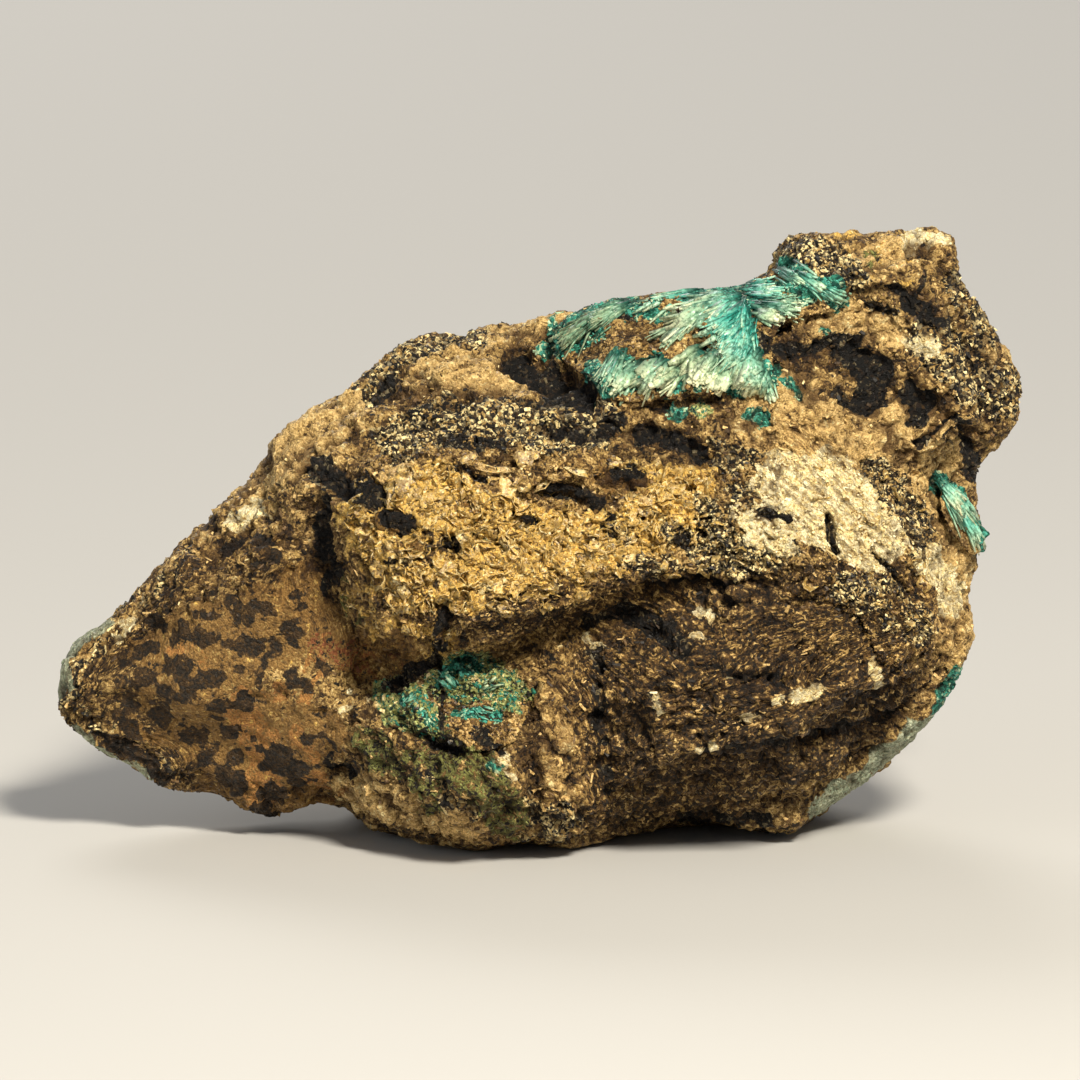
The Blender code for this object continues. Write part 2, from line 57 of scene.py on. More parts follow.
# Length, width and thickness of loose grains in mm
ROCK_GRAIN = (0.34, 0.26, 0.2)
CRUST_GRAIN = (0.32, 0.2, 0.15)
CLUSTER_GRAIN = (0.28, 0.2, 0.16)
RIDGE_GRAINS = 1800
POCKET_GRAINS = 3000
# Blades for each mm of a sheaf's half width, and how high they rise and how wide they are in mm
RIDGE_BLADES = (78, 0.45, 0.19)
RIDGE_LATH_BLADES = (26, 0.7, 0.38)
VEIN_BLADES = (150, 0.35, 0.14)
POCKET_BLADES = (26, 0.25, 0.12)
BLADE_LENGTHS = (0.5 * MM, 9 * MM)
# How wide a blade is at its root, middle and tip
BLADE_TAPER = (0.6, 1.0, 0.5)

CAMERA_DISTANCE = 1.5
SENSOR_WIDTH = 36
FLOOR_REACH = 3.0
FLOOR_COLOUR = (0.50, 0.49, 0.47)
WORLD_STRENGTH = 0.20
# Name, place, size, power and colour
LAMPS = (
    ("key", (0.24, -0.62, 0.60), 0.16, 13.5, (1.0, 0.93, 0.80)),
    ("fill", (-0.8, -0.6, 0.35), 0.6, 1.8, (0.92, 0.96, 1.0)),
    ("back", (-0.2, 0.8, 0.6), 0.5, 4.5, (1.0, 0.97, 0.92)),
)

BLACK = (0.006, 0.005, 0.004)
SOOT = (0.022, 0.016, 0.010)
BROWN = (0.060, 0.034, 0.012)
UMBER = (0.170, 0.098, 0.032)
GREY = (0.210, 0.175, 0.100)
TAN = (0.470, 0.315, 0.110)
SAND = (0.760, 0.530, 0.215)
GOLD = (0.860, 0.570, 0.150)
CREAM = (0.950, 0.790, 0.400)
IVORY = (0.960, 0.880, 0.580)
OCHRE = (0.300, 0.172, 0.050)
ORANGE = (0.500, 0.245, 0.070)
RUST = (0.250, 0.085, 0.030)
OLIVE = (0.230, 0.240, 0.070)
LIME = (0.440, 0.480, 0.180)
DEEP_TEAL = (0.006, 0.080, 0.062)
TEAL = (0.030, 0.235, 0.165)
AQUA = (0.090, 0.450, 0.350)
MINT = (0.520, 0.750, 0.500)
HAZE = (0.330, 0.390, 0.270)
PEARL = (0.560, 0.610, 0.440)
# Blades: greyish green and cyan middles, the light parts of both, cream tips, and brown stains
SAGE = (0.095, 0.205, 0.120)
SEA = (0.030, 0.300, 0.240)
LICHEN = (0.500, 0.550, 0.320)
CYAN = (0.190, 0.560, 0.430)
BLOSSOM = (0.900, 0.880, 0.560)
STAIN = (0.210, 0.140, 0.055)
# Tones that other colours are multiplied by
BLADE_SHADE = (0.35, 0.42, 0.38)
BLADE_LIGHT = (1.1, 1.1, 1.1)
DIRT = (0.55, 0.48, 0.40)
FACE = (1.05, 1.05, 1.05)
# Painted shade in the fibres' grooves and painted highlight on their ribs
PAINTED_GROOVE_SHADE = (0.38, 0.32, 0.26)
PAINTED_RIB_HIGHLIGHT = (1.15, 1.12, 1.05)
# Painted shade for hollows, pores and pits
PAINTED_PIT_SHADE = (0.14, 0.10, 0.07)

# Grains of each mineral mixture: share and colour
PALETTES = {
    "base": ((0.13, BLACK), (0.17, BROWN), (0.20, UMBER), (0.26, TAN), (0.17, SAND), (0.07, CREAM)),
    "sand": ((0.05, BROWN), (0.13, UMBER), (0.22, TAN), (0.42, SAND), (0.18, CREAM)),
    "gold": ((0.06, BROWN), (0.14, UMBER), (0.20, TAN), (0.38, GOLD), (0.22, CREAM)),
    "ochre": ((0.12, SOOT), (0.20, UMBER), (0.44, OCHRE), (0.18, TAN), (0.06, GOLD)),
    "orange": ((0.08, UMBER), (0.30, OCHRE), (0.52, ORANGE), (0.10, GOLD)),
    "red": ((0.24, SOOT), (0.28, OCHRE), (0.26, RUST), (0.22, ORANGE)),
    "brown": ((0.22, SOOT), (0.28, BROWN), (0.25, UMBER), (0.16, TAN), (0.09, SAND)),
    "grey": ((0.24, BLACK), (0.13, SOOT), (0.11, BROWN), (0.15, GREY), (0.15, TAN), (0.22, CREAM)),
    "pale": ((0.05, UMBER), (0.13, TAN), (0.30, CREAM), (0.52, IVORY)),
    "skin": ((0.14, GREY), (0.36, HAZE), (0.50, PEARL)),
    "moss": ((0.30, SOOT), (0.34, OLIVE), (0.20, UMBER), (0.16, SAND)),
    "green": ((0.18, SOOT), (0.08, DEEP_TEAL), (0.14, OLIVE), (0.22, LIME), (0.18, TEAL), (0.20, CREAM)),
    "teal": ((0.26, DEEP_TEAL), (0.36, TEAL), (0.26, AQUA), (0.12, MINT)),
    "spot": ((0.45, SOOT), (0.40, BROWN), (0.15, UMBER)),
    # dark: black grains, and the colour of the painted shade in holes, cracks and under ledges
    "dark": ((0.50, BLACK), (0.24, SOOT), (0.14, BROWN), (0.12, GREY)),
}
LAYERS = tuple(name for name in PALETTES if name != "base")
# Mixtures whose grains take their colours at random, and mixtures with sharp borders
SALT_AND_PEPPER = ("brown", "grey", "teal", "dark")
CRISP = ("spot", "dark")

# How thickly loose grains lie on each mixture
GRAIN_SHARE = {
    "sand": 0.35, "gold": 0.6, "ochre": 0.15, "orange": 0.1, "red": 0.2, "brown": 0.45, "grey": 1.4,
    "pale": 0.3, "skin": 0.05, "moss": 0.6, "green": 1.4, "teal": 0.8, "spot": 0.05, "dark": 1.0,
}

# Where each mixture lies: strength, radius in points, and the points that its brush passes.
# "base" takes away the mixtures above it.
STROKES = {
    "sand": [
        (0.9, 34, (250, 470), (300, 430), (340, 410)), (0.8, 22, (430, 372), (470, 366), (505, 384)),
        (0.7, 16, (480, 335), (540, 325), (575, 318)),
        (1.0, 46, (770, 425), (830, 430), (900, 448), (930, 462)),
        (0.9, 22, (815, 320), (850, 322), (885, 335)), (0.8, 26, (845, 270), (885, 262)),
        (0.7, 24, (975, 300), (1000, 345)), (0.9, 26, (925, 480), (955, 530), (962, 580), (950, 640)),
        (0.45, 20, (545, 700), (560, 740), (566, 785)), (0.7, 22, (350, 790), (400, 805), (470, 820)),
        (0.5, 18, (620, 800), (700, 796), (760, 792)), (0.9, 20, (396, 482), (440, 500)),
        (0.7, 18, (545, 556), (590, 548), (620, 552)),
        (0.6, 12, (84, 664), (124, 622), (166, 578), (214, 534)),
        (0.6, 7, (790, 462), (830, 520), (850, 556)), (0.6, 6, (862, 506), (896, 560)),
        (0.9, 20, (640, 545), (686, 534)), (0.8, 8, (690, 700), (740, 708), (776, 704)),
        (0.7, 8, (780, 690), (830, 676), (862, 660)), (0.7, 10, (872, 664), (890, 700)),
        (0.6, 8, (622, 690), (640, 730)), (0.5, 10, (180, 760), (198, 784)),
    ],
    "gold": [
        (0.85, 52, (385, 520), (430, 510), (500, 545), (560, 555)),
        (0.8, 42, (400, 570), (470, 575), (540, 560), (620, 540), (660, 520)),
        (0.7, 22, (640, 490), (700, 480)), (0.6, 24, (360, 600), (400, 628), (440, 645)),
        (0.4, 24, (850, 248), (896, 285)),
    ],
    "ochre": [
        (0.45, 15, (404, 542), (430, 566)), (0.45, 12, (470, 508), (492, 520)),
        (0.4, 10, (586, 500), (606, 520)), (0.9, 52, (160, 660), (230, 640), (300, 615)),
        (0.9, 50, (170, 705), (230, 730), (300, 740)), (0.9, 34, (225, 790), (300, 785)),
        (0.8, 26, (330, 640), (380, 662), (400, 650)), (0.7, 12, (600, 478), (640, 490)),
    ],
    "orange": [
        (0.6, 14, (272, 692), (300, 690), (322, 652)), (0.85, 20, (238, 705), (262, 738), (266, 790)),
        (0.6, 15, (300, 735), (312, 775), (330, 790)), (0.4, 12, (180, 644), (206, 660)),
    ],
    "red": [
        (0.7, 18, (326, 648), (345, 655), (368, 662)), (0.4, 16, (372, 648), (396, 660)),
    ],
    "brown": [
        (1.0, 60, (630, 680), (700, 690), (800, 700), (860, 680)),
        (1.0, 40, (620, 760), (680, 780), (740, 760), (830, 740)),
        (1.0, 40, (640, 630), (720, 615), (800, 600), (880, 615)),
        (0.8, 26, (600, 810), (660, 800), (740, 800)), (0.6, 26, (500, 620), (560, 605), (620, 600)),
        (0.8, 9, (447, 545), (463, 548)), (0.6, 7, (428, 532), (436, 580)),
        (0.6, 8, (498, 562), (516, 566)), (0.6, 16, (96, 742), (140, 752), (190, 774)),
        (0.55, 26, (130, 680), (150, 710)), (0.7, 14, (74, 700), (110, 656), (150, 610), (190, 566)),
        (0.7, 18, (770, 572), (820, 580), (850, 578)), (1.0, 16, (594, 650), (600, 700), (606, 790)),
        (0.6, 3, (838, 462), (872, 508), (900, 545)), (0.5, 3, (818, 470), (846, 512), (862, 540)),
        (0.6, 4, (798, 520), (812, 540), (816, 556)),
    ],
    "grey": [
        (0.4, 14, (66, 696), (90, 656), (130, 606), (180, 556)),
        (0.4, 16, (80, 720), (130, 740), (170, 770)),
        (0.9, 30, (400, 440), (450, 418), (520, 424), (590, 428)),
        (0.7, 16, (372, 392), (398, 352), (440, 338), (476, 334)),
        (0.9, 20, (790, 250), (825, 262), (850, 278)), (0.9, 34, (930, 345), (965, 365), (995, 392)),
        (0.7, 20, (960, 290), (990, 330)), (0.7, 22, (720, 455), (760, 470), (740, 510)),
        (0.8, 22, (870, 475), (900, 510), (915, 540)), (0.8, 22, (700, 545), (735, 560), (780, 545)),
        (0.7, 24, (845, 590), (880, 600), (910, 625)),
        (0.7, 26, (420, 780), (470, 790), (520, 815), (560, 820)), (0.9, 8, (613, 531), (626, 537)),
        (0.9, 10, (668, 528), (684, 540)), (0.9, 11, (702, 530), (716, 545)),
        (0.9, 11, (628, 560), (650, 570)), (0.8, 7, (664, 557), (680, 561)),
        (0.9, 19, (708, 512), (720, 538), (738, 556)), (0.6, 5, (790, 536), (796, 547)),
    ],
    "pale": [
        (1.0, 34, (778, 480), (800, 510), (845, 530), (870, 545)),
        (0.9, 26, (820, 470), (850, 500), (880, 540)), (0.9, 15, (742, 512), (758, 534), (782, 545)),
        (0.9, 18, (930, 560), (945, 580), (948, 600)), (0.6, 5, (738, 718), (756, 714)),
        (0.6, 6, (752, 694), (776, 698)), (0.7, 7, (790, 693), (812, 684)),
        (0.7, 7, (870, 660), (876, 684)), (0.7, 4, (692, 613), (708, 619)),
        (0.7, 3, (694, 636), (704, 640)), (0.6, 5, (584, 634), (598, 642)),
        (0.7, 4, (650, 694), (656, 708)), (0.6, 4, (700, 742), (712, 744)),
        (0.7, 14, (238, 520), (256, 512)), (0.6, 12, (108, 640), (140, 610)),
        (0.8, 8, (904, 240), (922, 234), (938, 240)), (0.6, 12, (905, 346), (925, 350)),
        (0.5, 12, (338, 702), (362, 698)), (0.55, 6, (502, 745), (512, 788)),
    ],
    # Skin is a pale grey-green coat; these strokes along the outline of the left tip and the lower edges are
    # a painted rim light.
    "skin": [
        (1.0, 11, (60, 690), (62, 655), (84, 632), (104, 626)),
        (1.0, 14, (76, 740), (108, 766), (150, 786)),
        (0.9, 14, (936, 716), (900, 748), (866, 776), (820, 806)),
    ],
    "green": [
        (1.0, 24, (448, 676), (486, 678), (508, 692)), (0.9, 26, (398, 698), (425, 716)),
        (0.8, 9, (690, 408), (704, 416)),
    ],
    "moss": [
        (0.9, 26, (440, 748), (475, 770), (505, 812)), (0.7, 18, (366, 742), (410, 770), (430, 800)),
        (0.45, 10, (866, 256), (886, 288)), (0.45, 10, (336, 556), (346, 596), (358, 620)),
    ],
    "teal": [
        (0.8, 7, (440, 678), (456, 668), (478, 664)), (1.0, 6, (460, 711), (476, 714)),
        (1.0, 5, (486, 713), (500, 711)), (0.6, 7, (402, 694), (414, 706), (424, 714)),
        (0.5, 6, (484, 756), (500, 768)), (0.95, 20, (556, 342), (590, 322), (630, 308)),
        (0.95, 22, (600, 380), (640, 372), (700, 372), (755, 380)),
        (0.95, 18, (660, 312), (710, 300), (750, 296)), (0.95, 16, (720, 330), (744, 350)),
        (0.95, 14, (766, 290), (800, 300)), (0.95, 11, (782, 268), (812, 286), (840, 302)),
        (1.0, 7, (668, 410), (678, 414)), (1.0, 7, (750, 412), (760, 422)),
        (0.8, 6, (784, 384), (795, 396)), (0.7, 5, (816, 332), (826, 334)),
        (1.0, 10, (942, 484), (962, 506), (984, 548)), (0.9, 8, (958, 668), (950, 690), (936, 708)),
    ],
    "base": [
        (1.0, 13, (618, 334), (636, 348)), (1.0, 10, (668, 306), (686, 314)),
        (0.9, 9, (668, 352), (700, 342)), (0.9, 7, (768, 300), (784, 300)),
        (0.9, 4, (672, 366), (684, 356), (704, 352)), (0.8, 4, (646, 376), (654, 392)),
        (0.8, 4, (694, 374), (686, 394)), (0.8, 5, (712, 398), (744, 402)),
    ],
    # Black grains, as in the patches at the upper right; the strokes in the holes, cracks and grooves, under
    # the ledges and along the underside are painted shade.
    "dark": [
        (1.0, 5, (624, 320), (636, 324)), (1.0, 15, (318, 468), (345, 486), (380, 500)),
        (0.7, 11, (320, 500), (318, 530), (326, 560), (334, 590)), (1.0, 10, (390, 522), (408, 528)),
        (0.8, 6, (392, 560), (408, 564)), (0.9, 10, (384, 384), (378, 402)),
        (1.0, 15, (516, 362), (540, 376), (580, 394)), (0.8, 8, (440, 442), (500, 448)),
        (0.8, 10, (560, 430), (600, 436), (620, 424)), (1.0, 7, (546, 488), (572, 492), (596, 508)),
        (0.9, 5, (466, 474), (486, 480)), (0.8, 5, (450, 545), (461, 549)),
        (0.8, 3, (472, 523), (478, 527)), (0.9, 5, (514, 516), (527, 523)),
        (0.8, 3, (531, 522), (536, 526)), (0.7, 4, (606, 515), (612, 518)),
        (1.0, 7, (606, 478), (640, 478)), (0.9, 11, (640, 432), (672, 440), (700, 458)),
        (0.8, 7, (676, 528), (684, 544)), (0.7, 7, (606, 528), (616, 536)),
        (1.0, 6, (762, 510), (782, 520)), (1.0, 12, (782, 350), (790, 356)),
        (1.0, 5, (760, 340), (766, 352)), (1.0, 8, (806, 356), (834, 342), (856, 340)),
        (1.0, 15, (844, 358), (876, 372), (868, 400)), (0.9, 8, (838, 388), (852, 402)),
        (1.0, 15, (906, 304), (922, 318)), (1.0, 6, (938, 314), (950, 324)),
        (0.8, 7, (866, 308), (888, 314)), (0.9, 3, (880, 294), (906, 291)),
        (1.0, 4, (905, 384), (910, 388)), (1.0, 8, (902, 398), (924, 402), (910, 424)),
        (1.0, 4, (918, 446), (930, 428), (944, 418), (960, 428), (968, 446)),
        (0.9, 3, (944, 440), (958, 432)), (1.0, 11, (970, 452), (978, 476)),
        (0.9, 4, (910, 250), (926, 254)), (0.8, 4, (922, 268), (924, 296)),
        (1.0, 8, (445, 606), (447, 614)), (0.8, 4, (443, 622), (439, 650), (443, 700), (442, 724)),
        (0.8, 9, (440, 660), (414, 672), (396, 684)), (0.8, 8, (430, 734), (452, 744)),
        (0.7, 9, (480, 732), (498, 744)), (0.7, 10, (332, 762), (352, 772)),
        (0.5, 9, (592, 648), (598, 690), (604, 740), (612, 790)),
        (0.8, 12, (590, 618), (620, 608), (650, 622), (680, 644)),
        (1.0, 4, (652, 588), (676, 580), (700, 574), (716, 586), (726, 600)),
        (0.7, 4, (690, 657), (740, 672), (776, 676)),
        (0.8, 5, (700, 752), (760, 746), (830, 728), (905, 712)),
        (1.0, 3, (823, 514), (827, 532), (833, 552)), (0.9, 2, (868, 550), (886, 570), (906, 590)),
        (0.6, 14, (690, 822), (740, 826), (780, 826)),
    ],
}

# Patches on the back: strength, size in mm, the noise between which they fade in, and seed
BACK_PATCHES = {
    "sand": (0.8, 9, -0.1, 0.5, 21), "brown": (0.9, 15, -0.1, 0.5, 22), "grey": (0.8, 10, 0.05, 0.5, 23),
    "ochre": (0.6, 12, 0.15, 0.6, 24), "skin": (0.6, 13, 0.42, 0.7, 25), "teal": (0.8, 7, 0.50, 0.7, 26),
    "dark": (0.7, 5, 0.36, 0.6, 27), "pale": (0.6, 6, 0.40, 0.7, 28), "green": (0.6, 8, 0.40, 0.6, 29),
}

# Dark leopard spots of the left plane: radius, and the points that the brush passes
SPOTS = [
    (7, (199, 612), (214, 613)), (11, (240, 611), (248, 614)), (8, (262, 606), (274, 608)),
    (10, (292, 624), (296, 634)), (13, (248, 644), (256, 646)), (9, (201, 637), (206, 644)),
    (8, (142, 650), (154, 648)), (10, (142, 678), (147, 678)), (8, (176, 660), (184, 676), (192, 688)),
    (9, (202, 680), (222, 676)), (8, (164, 693), (176, 692)), (11, (217, 708), (226, 704)),
    (7, (243, 696), (245, 704)), (9, (292, 674), (296, 680)), (6, (307, 681), (311, 684)),
    (6, (226, 732), (236, 732)), (10, (186, 736), (198, 738)), (9, (160, 712), (166, 720)),
    (7, (236, 752), (237, 760)), (8, (272, 752), (280, 753)), (9, (266, 768), (302, 768)),
    (8, (298, 782), (304, 785)), (10, (270, 792), (278, 796)), (10, (224, 776), (240, 782)),
    (9, (256, 806), (264, 810)), (7, (224, 542), (236, 543)), (9, (262, 544), (276, 552)),
    (6, (322, 662), (328, 672)), (7, (155, 620), (161, 628)), (5, (262, 664), (263, 684)),
    (8, (110, 742), (150, 758), (164, 776)), (9, (118, 712), (132, 728)), (6, (176, 636), (182, 626)),
    (6, (206, 756), (214, 752)), (7, (276, 640), (280, 652)), (6, (128, 700), (136, 708)),
]

# Brushes that change the form: height in mm, radius, and the points passed
RELIEF = [
    (-1.1, 9, (445, 606), (447, 614)), (-0.7, 5, (443, 622), (439, 650), (443, 700), (442, 724)),
    (-0.7, 4, (823, 514), (827, 532), (833, 552)), (-0.5, 3, (868, 550), (886, 570), (906, 590)),
    (-0.9, 7, (652, 588), (676, 580), (700, 574), (716, 586), (726, 600)),
    (0.6, 10, (652, 574), (680, 566), (704, 562), (724, 574), (738, 592)),
    (-1.0, 13, (390, 522), (408, 528)), (-1.0, 17, (516, 362), (540, 376), (580, 394)),
    (-0.7, 18, (345, 482), (376, 498)), (-0.7, 14, (320, 510), (322, 560)),
    (-1.0, 9, (546, 488), (572, 490), (598, 506)), (-0.7, 6, (450, 545), (461, 549)),
    (-0.8, 6, (514, 516), (527, 523)), (-0.5, 4, (606, 515), (612, 518)),
    (-0.6, 5, (466, 474), (486, 480)), (0.8, 10, (470, 472), (520, 478), (560, 470), (606, 462)),
    (-0.9, 9, (606, 480), (640, 480)), (-0.7, 8, (484, 462), (520, 462)),
    (-0.7, 12, (640, 436), (676, 442), (702, 460)), (0.5, 14, (470, 404), (540, 410), (600, 412)),
    (-0.5, 10, (392, 398), (440, 388), (500, 400), (560, 408)), (-0.6, 11, (782, 350), (790, 356)),
    (-0.6, 18, (846, 360), (874, 376), (866, 400)), (-0.5, 8, (806, 356), (834, 344)),
    (-0.6, 16, (906, 304), (924, 320)), (-0.7, 6, (905, 384), (911, 389)),
    (-0.6, 11, (902, 398), (922, 404), (910, 424)),
    (-0.7, 6, (918, 446), (930, 428), (944, 418), (960, 428), (968, 446)),
    (-0.6, 4, (944, 440), (958, 432)), (-0.8, 9, (908, 248), (928, 252)),
    (-0.5, 5, (922, 268), (924, 296)), (-0.6, 7, (690, 755), (760, 748), (830, 731), (905, 715)),
    (0.5, 11, (690, 738), (760, 731), (830, 712), (895, 696)),
    (-0.5, 7, (620, 608), (660, 634), (690, 660), (740, 676), (780, 680)),
    (0.5, 11, (632, 594), (672, 618), (700, 642), (745, 658), (786, 662)),
    (0.4, 12, (740, 696), (790, 694), (850, 674)), (0.5, 6, (336, 722), (362, 706), (392, 688)),
    (-0.5, 9, (404, 712), (430, 734), (460, 744)), (0.5, 12, (498, 742), (510, 770), (520, 800)),
    (-0.5, 8, (524, 700), (532, 760), (534, 810)),
    (0.4, 10, (352, 552), (372, 596), (406, 630), (440, 648)),
    (-0.4, 6, (458, 640), (500, 622), (560, 612)), (0.4, 8, (470, 626), (510, 606), (580, 596)),
    (-0.5, 8, (300, 452), (330, 446), (352, 430)), (-0.4, 8, (210, 552), (255, 540), (300, 545)),
    (0.5, 14, (270, 440), (300, 420), (330, 404)), (-0.4, 6, (455, 374), (458, 377)),
]

# Places of fine fibres or layers, of a calmer surface, and of small random spots
TEXTURES = {
    "fibrous": [
        (60, (360, 600), (440, 640), (540, 620), (640, 600)), (60, (620, 660), (720, 680), (860, 640)),
        (40, (560, 660), (580, 790)), (50, (430, 750), (500, 810)),
        (50, (786, 462), (850, 520), (900, 570), (930, 620)), (26, (70, 700), (120, 630), (190, 560)),
        (30, (250, 560), (300, 590), (330, 610)), (40, (90, 730), (180, 770)),
    ],
    "calm": [
        (56, (150, 690), (230, 650), (300, 640)), (50, (200, 735), (300, 745)),
        (24, (402, 490), (440, 514)), (12, (494, 490), (510, 494)),
    ],
    "spots": [
        (62, (150, 690), (225, 640), (280, 600)), (56, (190, 735), (300, 745)),
    ],
}

# Curled flakes on the boss: middle and long way in picture points, half length and half width
# in mm, lean and colour
FLAKES = [
    ((470, 461), (1.0, -0.5), 0.8, 0.5, -0.30, TAN), ((491, 471), (1.0, 0.15), 1.9, 0.5, -0.7, SAND),
    ((527, 459), (1.0, -0.2), 1.2, 0.9, -0.30, TAN), ((548, 482), (1.0, -0.8), 2.0, 0.6, -0.7, SAND),
    ((572, 472), (1.0, 0.35), 1.5, 0.5, -0.8, CREAM), ((588, 490), (0.6, 0.8), 1.0, 0.5, -0.6, SAND),
    ((500, 489), (1.0, 0.2), 1.5, 1.0, -0.15, GOLD), ((415, 488), (1.0, 0.4), 2.0, 1.3, -0.10, TAN),
    ((436, 508), (1.0, 0.8), 1.5, 1.0, -0.15, GOLD), ((402, 470), (0.8, -0.6), 1.2, 0.6, -0.3, SAND),
    ((487, 548), (0.2, 1.0), 0.9, 0.7, 0.10, OLIVE), ((523, 508), (1.0, -0.5), 0.9, 0.5, -0.8, SAND),
    ((396, 502), (0.3, 1.0), 1.4, 0.9, -0.15, TAN), ((610, 463), (1.0, 0.2), 1.4, 0.6, -0.3, TAN),
    ((560, 524), (1.0, 0.1), 1.3, 0.8, -0.30, GOLD), ((460, 520), (1.0, 0.5), 1.6, 1.0, -0.15, GOLD),
    ((640, 505), (0.8, 0.6), 1.4, 0.9, -0.20, SAND), ((545, 445), (1.0, -0.1), 0.9, 0.4, -0.4, TAN),
]

# Lines along which grains and fibres lie
FLOWS = [
    [(60, 700), (150, 590), (250, 500), (330, 420)],
    [(80, 740), (180, 775), (300, 770)],
    [(130, 680), (300, 640)],
    [(350, 560), (380, 610), (440, 650)],
    [(440, 645), (520, 606), (620, 600), (700, 640)],
    [(380, 500), (470, 480), (560, 520), (680, 500)],
    [(400, 440), (520, 415), (640, 440), (720, 470)],
    [(330, 400), (450, 350), (620, 330)],
    [(556, 640), (572, 700), (590, 790)],
    [(600, 640), (700, 690), (800, 690), (900, 640)],
    [(620, 790), (760, 745), (910, 700)],
    [(790, 455), (840, 510), (910, 590), (950, 650)],
    [(780, 380), (860, 430), (960, 470)],
    [(850, 260), (900, 330), (960, 400)],
    [(390, 690), (440, 740), (510, 820)],
    [(350, 790), (430, 820), (500, 835)],
]

# Sheaves of blades: root and tip in picture points, half width at the tip in mm, paleness, and
# tone from greyish green (0) to cyan (1)
RIDGE_SHEAVES = [
    ((738, 298), (700, 318), 1.5, 0.45, 0.9), ((742, 310), (704, 340), 1.6, 0.25, 1.0),
    ((748, 324), (708, 360), 1.7, 0.35, 1.0), ((753, 338), (716, 376), 1.7, 0.45, 0.9),
    ((758, 352), (728, 390), 1.6, 0.75, 0.7), ((761, 366), (742, 396), 1.4, 0.85, 0.6),
    ((765, 378), (762, 400), 1.1, 0.60, 0.6), ((740, 302), (728, 336), 1.4, 0.10, 1.0),
    ((747, 318), (736, 354), 1.4, 0.15, 1.0), ((726, 298), (686, 312), 1.1, 0.45, 0.5),
    ((716, 304), (668, 328), 1.4, 0.55, 0.4), ((704, 312), (652, 346), 1.3, 0.40, 0.4),
    ((714, 356), (688, 388), 1.4, 0.95, 0.3), ((700, 352), (668, 386), 1.4, 1.00, 0.2),
    ((690, 362), (656, 392), 1.3, 0.90, 0.3), ((666, 362), (632, 396), 1.3, 0.70, 0.4),
    ((646, 362), (612, 398), 1.2, 0.50, 0.5), ((732, 362), (706, 394), 1.4, 1.00, 0.3),
    ((622, 350), (600, 392), 1.1, 0.30, 0.5), ((630, 304), (584, 328), 1.2, 0.10, 0.2),
    ((602, 314), (560, 344), 1.1, 0.10, 0.1), ((584, 324), (552, 350), 0.9, 0.20, 0.1),
    ((700, 288), (642, 298), 0.9, 0.45, 0.8), ((686, 287), (634, 306), 0.9, 0.50, 0.8),
    ((742, 290), (776, 286), 0.9, 0.45, 1.0), ((748, 294), (786, 298), 1.0, 0.20, 0.9),
    ((750, 304), (804, 314), 1.2, 0.10, 0.5), ((752, 314), (786, 322), 0.5, 0.90, 0.3),
    ((774, 270), (802, 287), 0.5, 0.00, 0.7), ((790, 276), (822, 297), 0.5, 0.00, 0.7),
    ((816, 291), (840, 304), 0.4, 0.00, 0.7),
]
RIDGE_LATHS = [
    ((714, 354), (690, 386), 1.6, 1.00, 0.3), ((698, 350), (668, 384), 1.6, 1.00, 0.2),
    ((690, 364), (660, 394), 1.4, 0.95, 0.2), ((664, 364), (636, 392), 1.3, 0.80, 0.3),
    ((728, 364), (704, 394), 1.3, 1.00, 0.3), ((640, 364), (616, 394), 1.1, 0.60, 0.4),
    ((716, 304), (664, 334), 1.4, 0.70, 0.4), ((756, 352), (736, 388), 1.2, 0.85, 0.7),
    ((676, 372), (646, 386), 1.0, 0.95, 0.1), ((706, 370), (690, 398), 1.0, 1.00, 0.2),
]
VEIN_SHEAVES = [
    ((938, 480), (962, 512), 0.8, 0.8, 0.8), ((948, 490), (975, 532), 0.8, 1.0, 0.8),
    ((958, 506), (986, 556), 0.8, 0.9, 1.0), ((944, 492), (968, 528), 0.6, 0.3, 0.6),
]
POCKET_SHEAVES = [
    ((456, 686), (442, 672), 0.7, 0.1, 0.7), ((482, 690), (498, 680), 0.7, 0.3, 0.1),
    ((474, 706), (490, 714), 0.6, 0.0, 0.8), ((418, 694), (406, 706), 0.6, 0.1, 0.5),
]


def smooth_step(low, high, value):
    share = np.clip((value - low) / (high - low), 0, 1)
    return share * share * (3 - 2 * share)


def lattice_value(cell, seed, salt):
    """A repeatable random number from -1 to 1 for each whole-numbered place."""
    mixed = cell[..., 0] * 73856093 ^ cell[..., 1] * 19349663 ^ cell[..., 2] * 83492791
    mixed = (mixed ^ (seed * 2654435 + salt * 40503)) & 0xFFFFFFFF
    mixed = ((mixed ^ (mixed >> 15)) * 739982445) & 0xFFFFFFFF
    mixed = ((mixed ^ (mixed >> 12)) * 695872825) & 0xFFFFFFFF
    return ((mixed ^ (mixed >> 15)) & 0xFFFF) / 32767.5 - 1


def noise(points, size, seed):
    """Gradient noise with waves of about this size, from -1 to 1."""
    place = points / size
    cell = np.floor(place).astype(np.int64)
    inside = place - cell
    ease = inside ** 3 * (inside * (inside * 6 - 15) + 10)
    total = 0
    for corner in np.ndindex(2, 2, 2):
        offset = np.array(corner)
        reach = inside - offset
        slope = sum(lattice_value(cell + offset, seed, axis) * reach[:, axis] for axis in range(3))
        share = np.prod(np.where(offset == 1, ease, 1 - ease), axis=1)
        total = total + slope * share
    return np.clip(total * 1.6, -1, 1)


def noise_vectors(points, size, seed, axes):
    """A noise for each axis, from seeds in a row."""
    return np.stack([noise(points, size, seed + axis) for axis in range(axes)], axis=1)


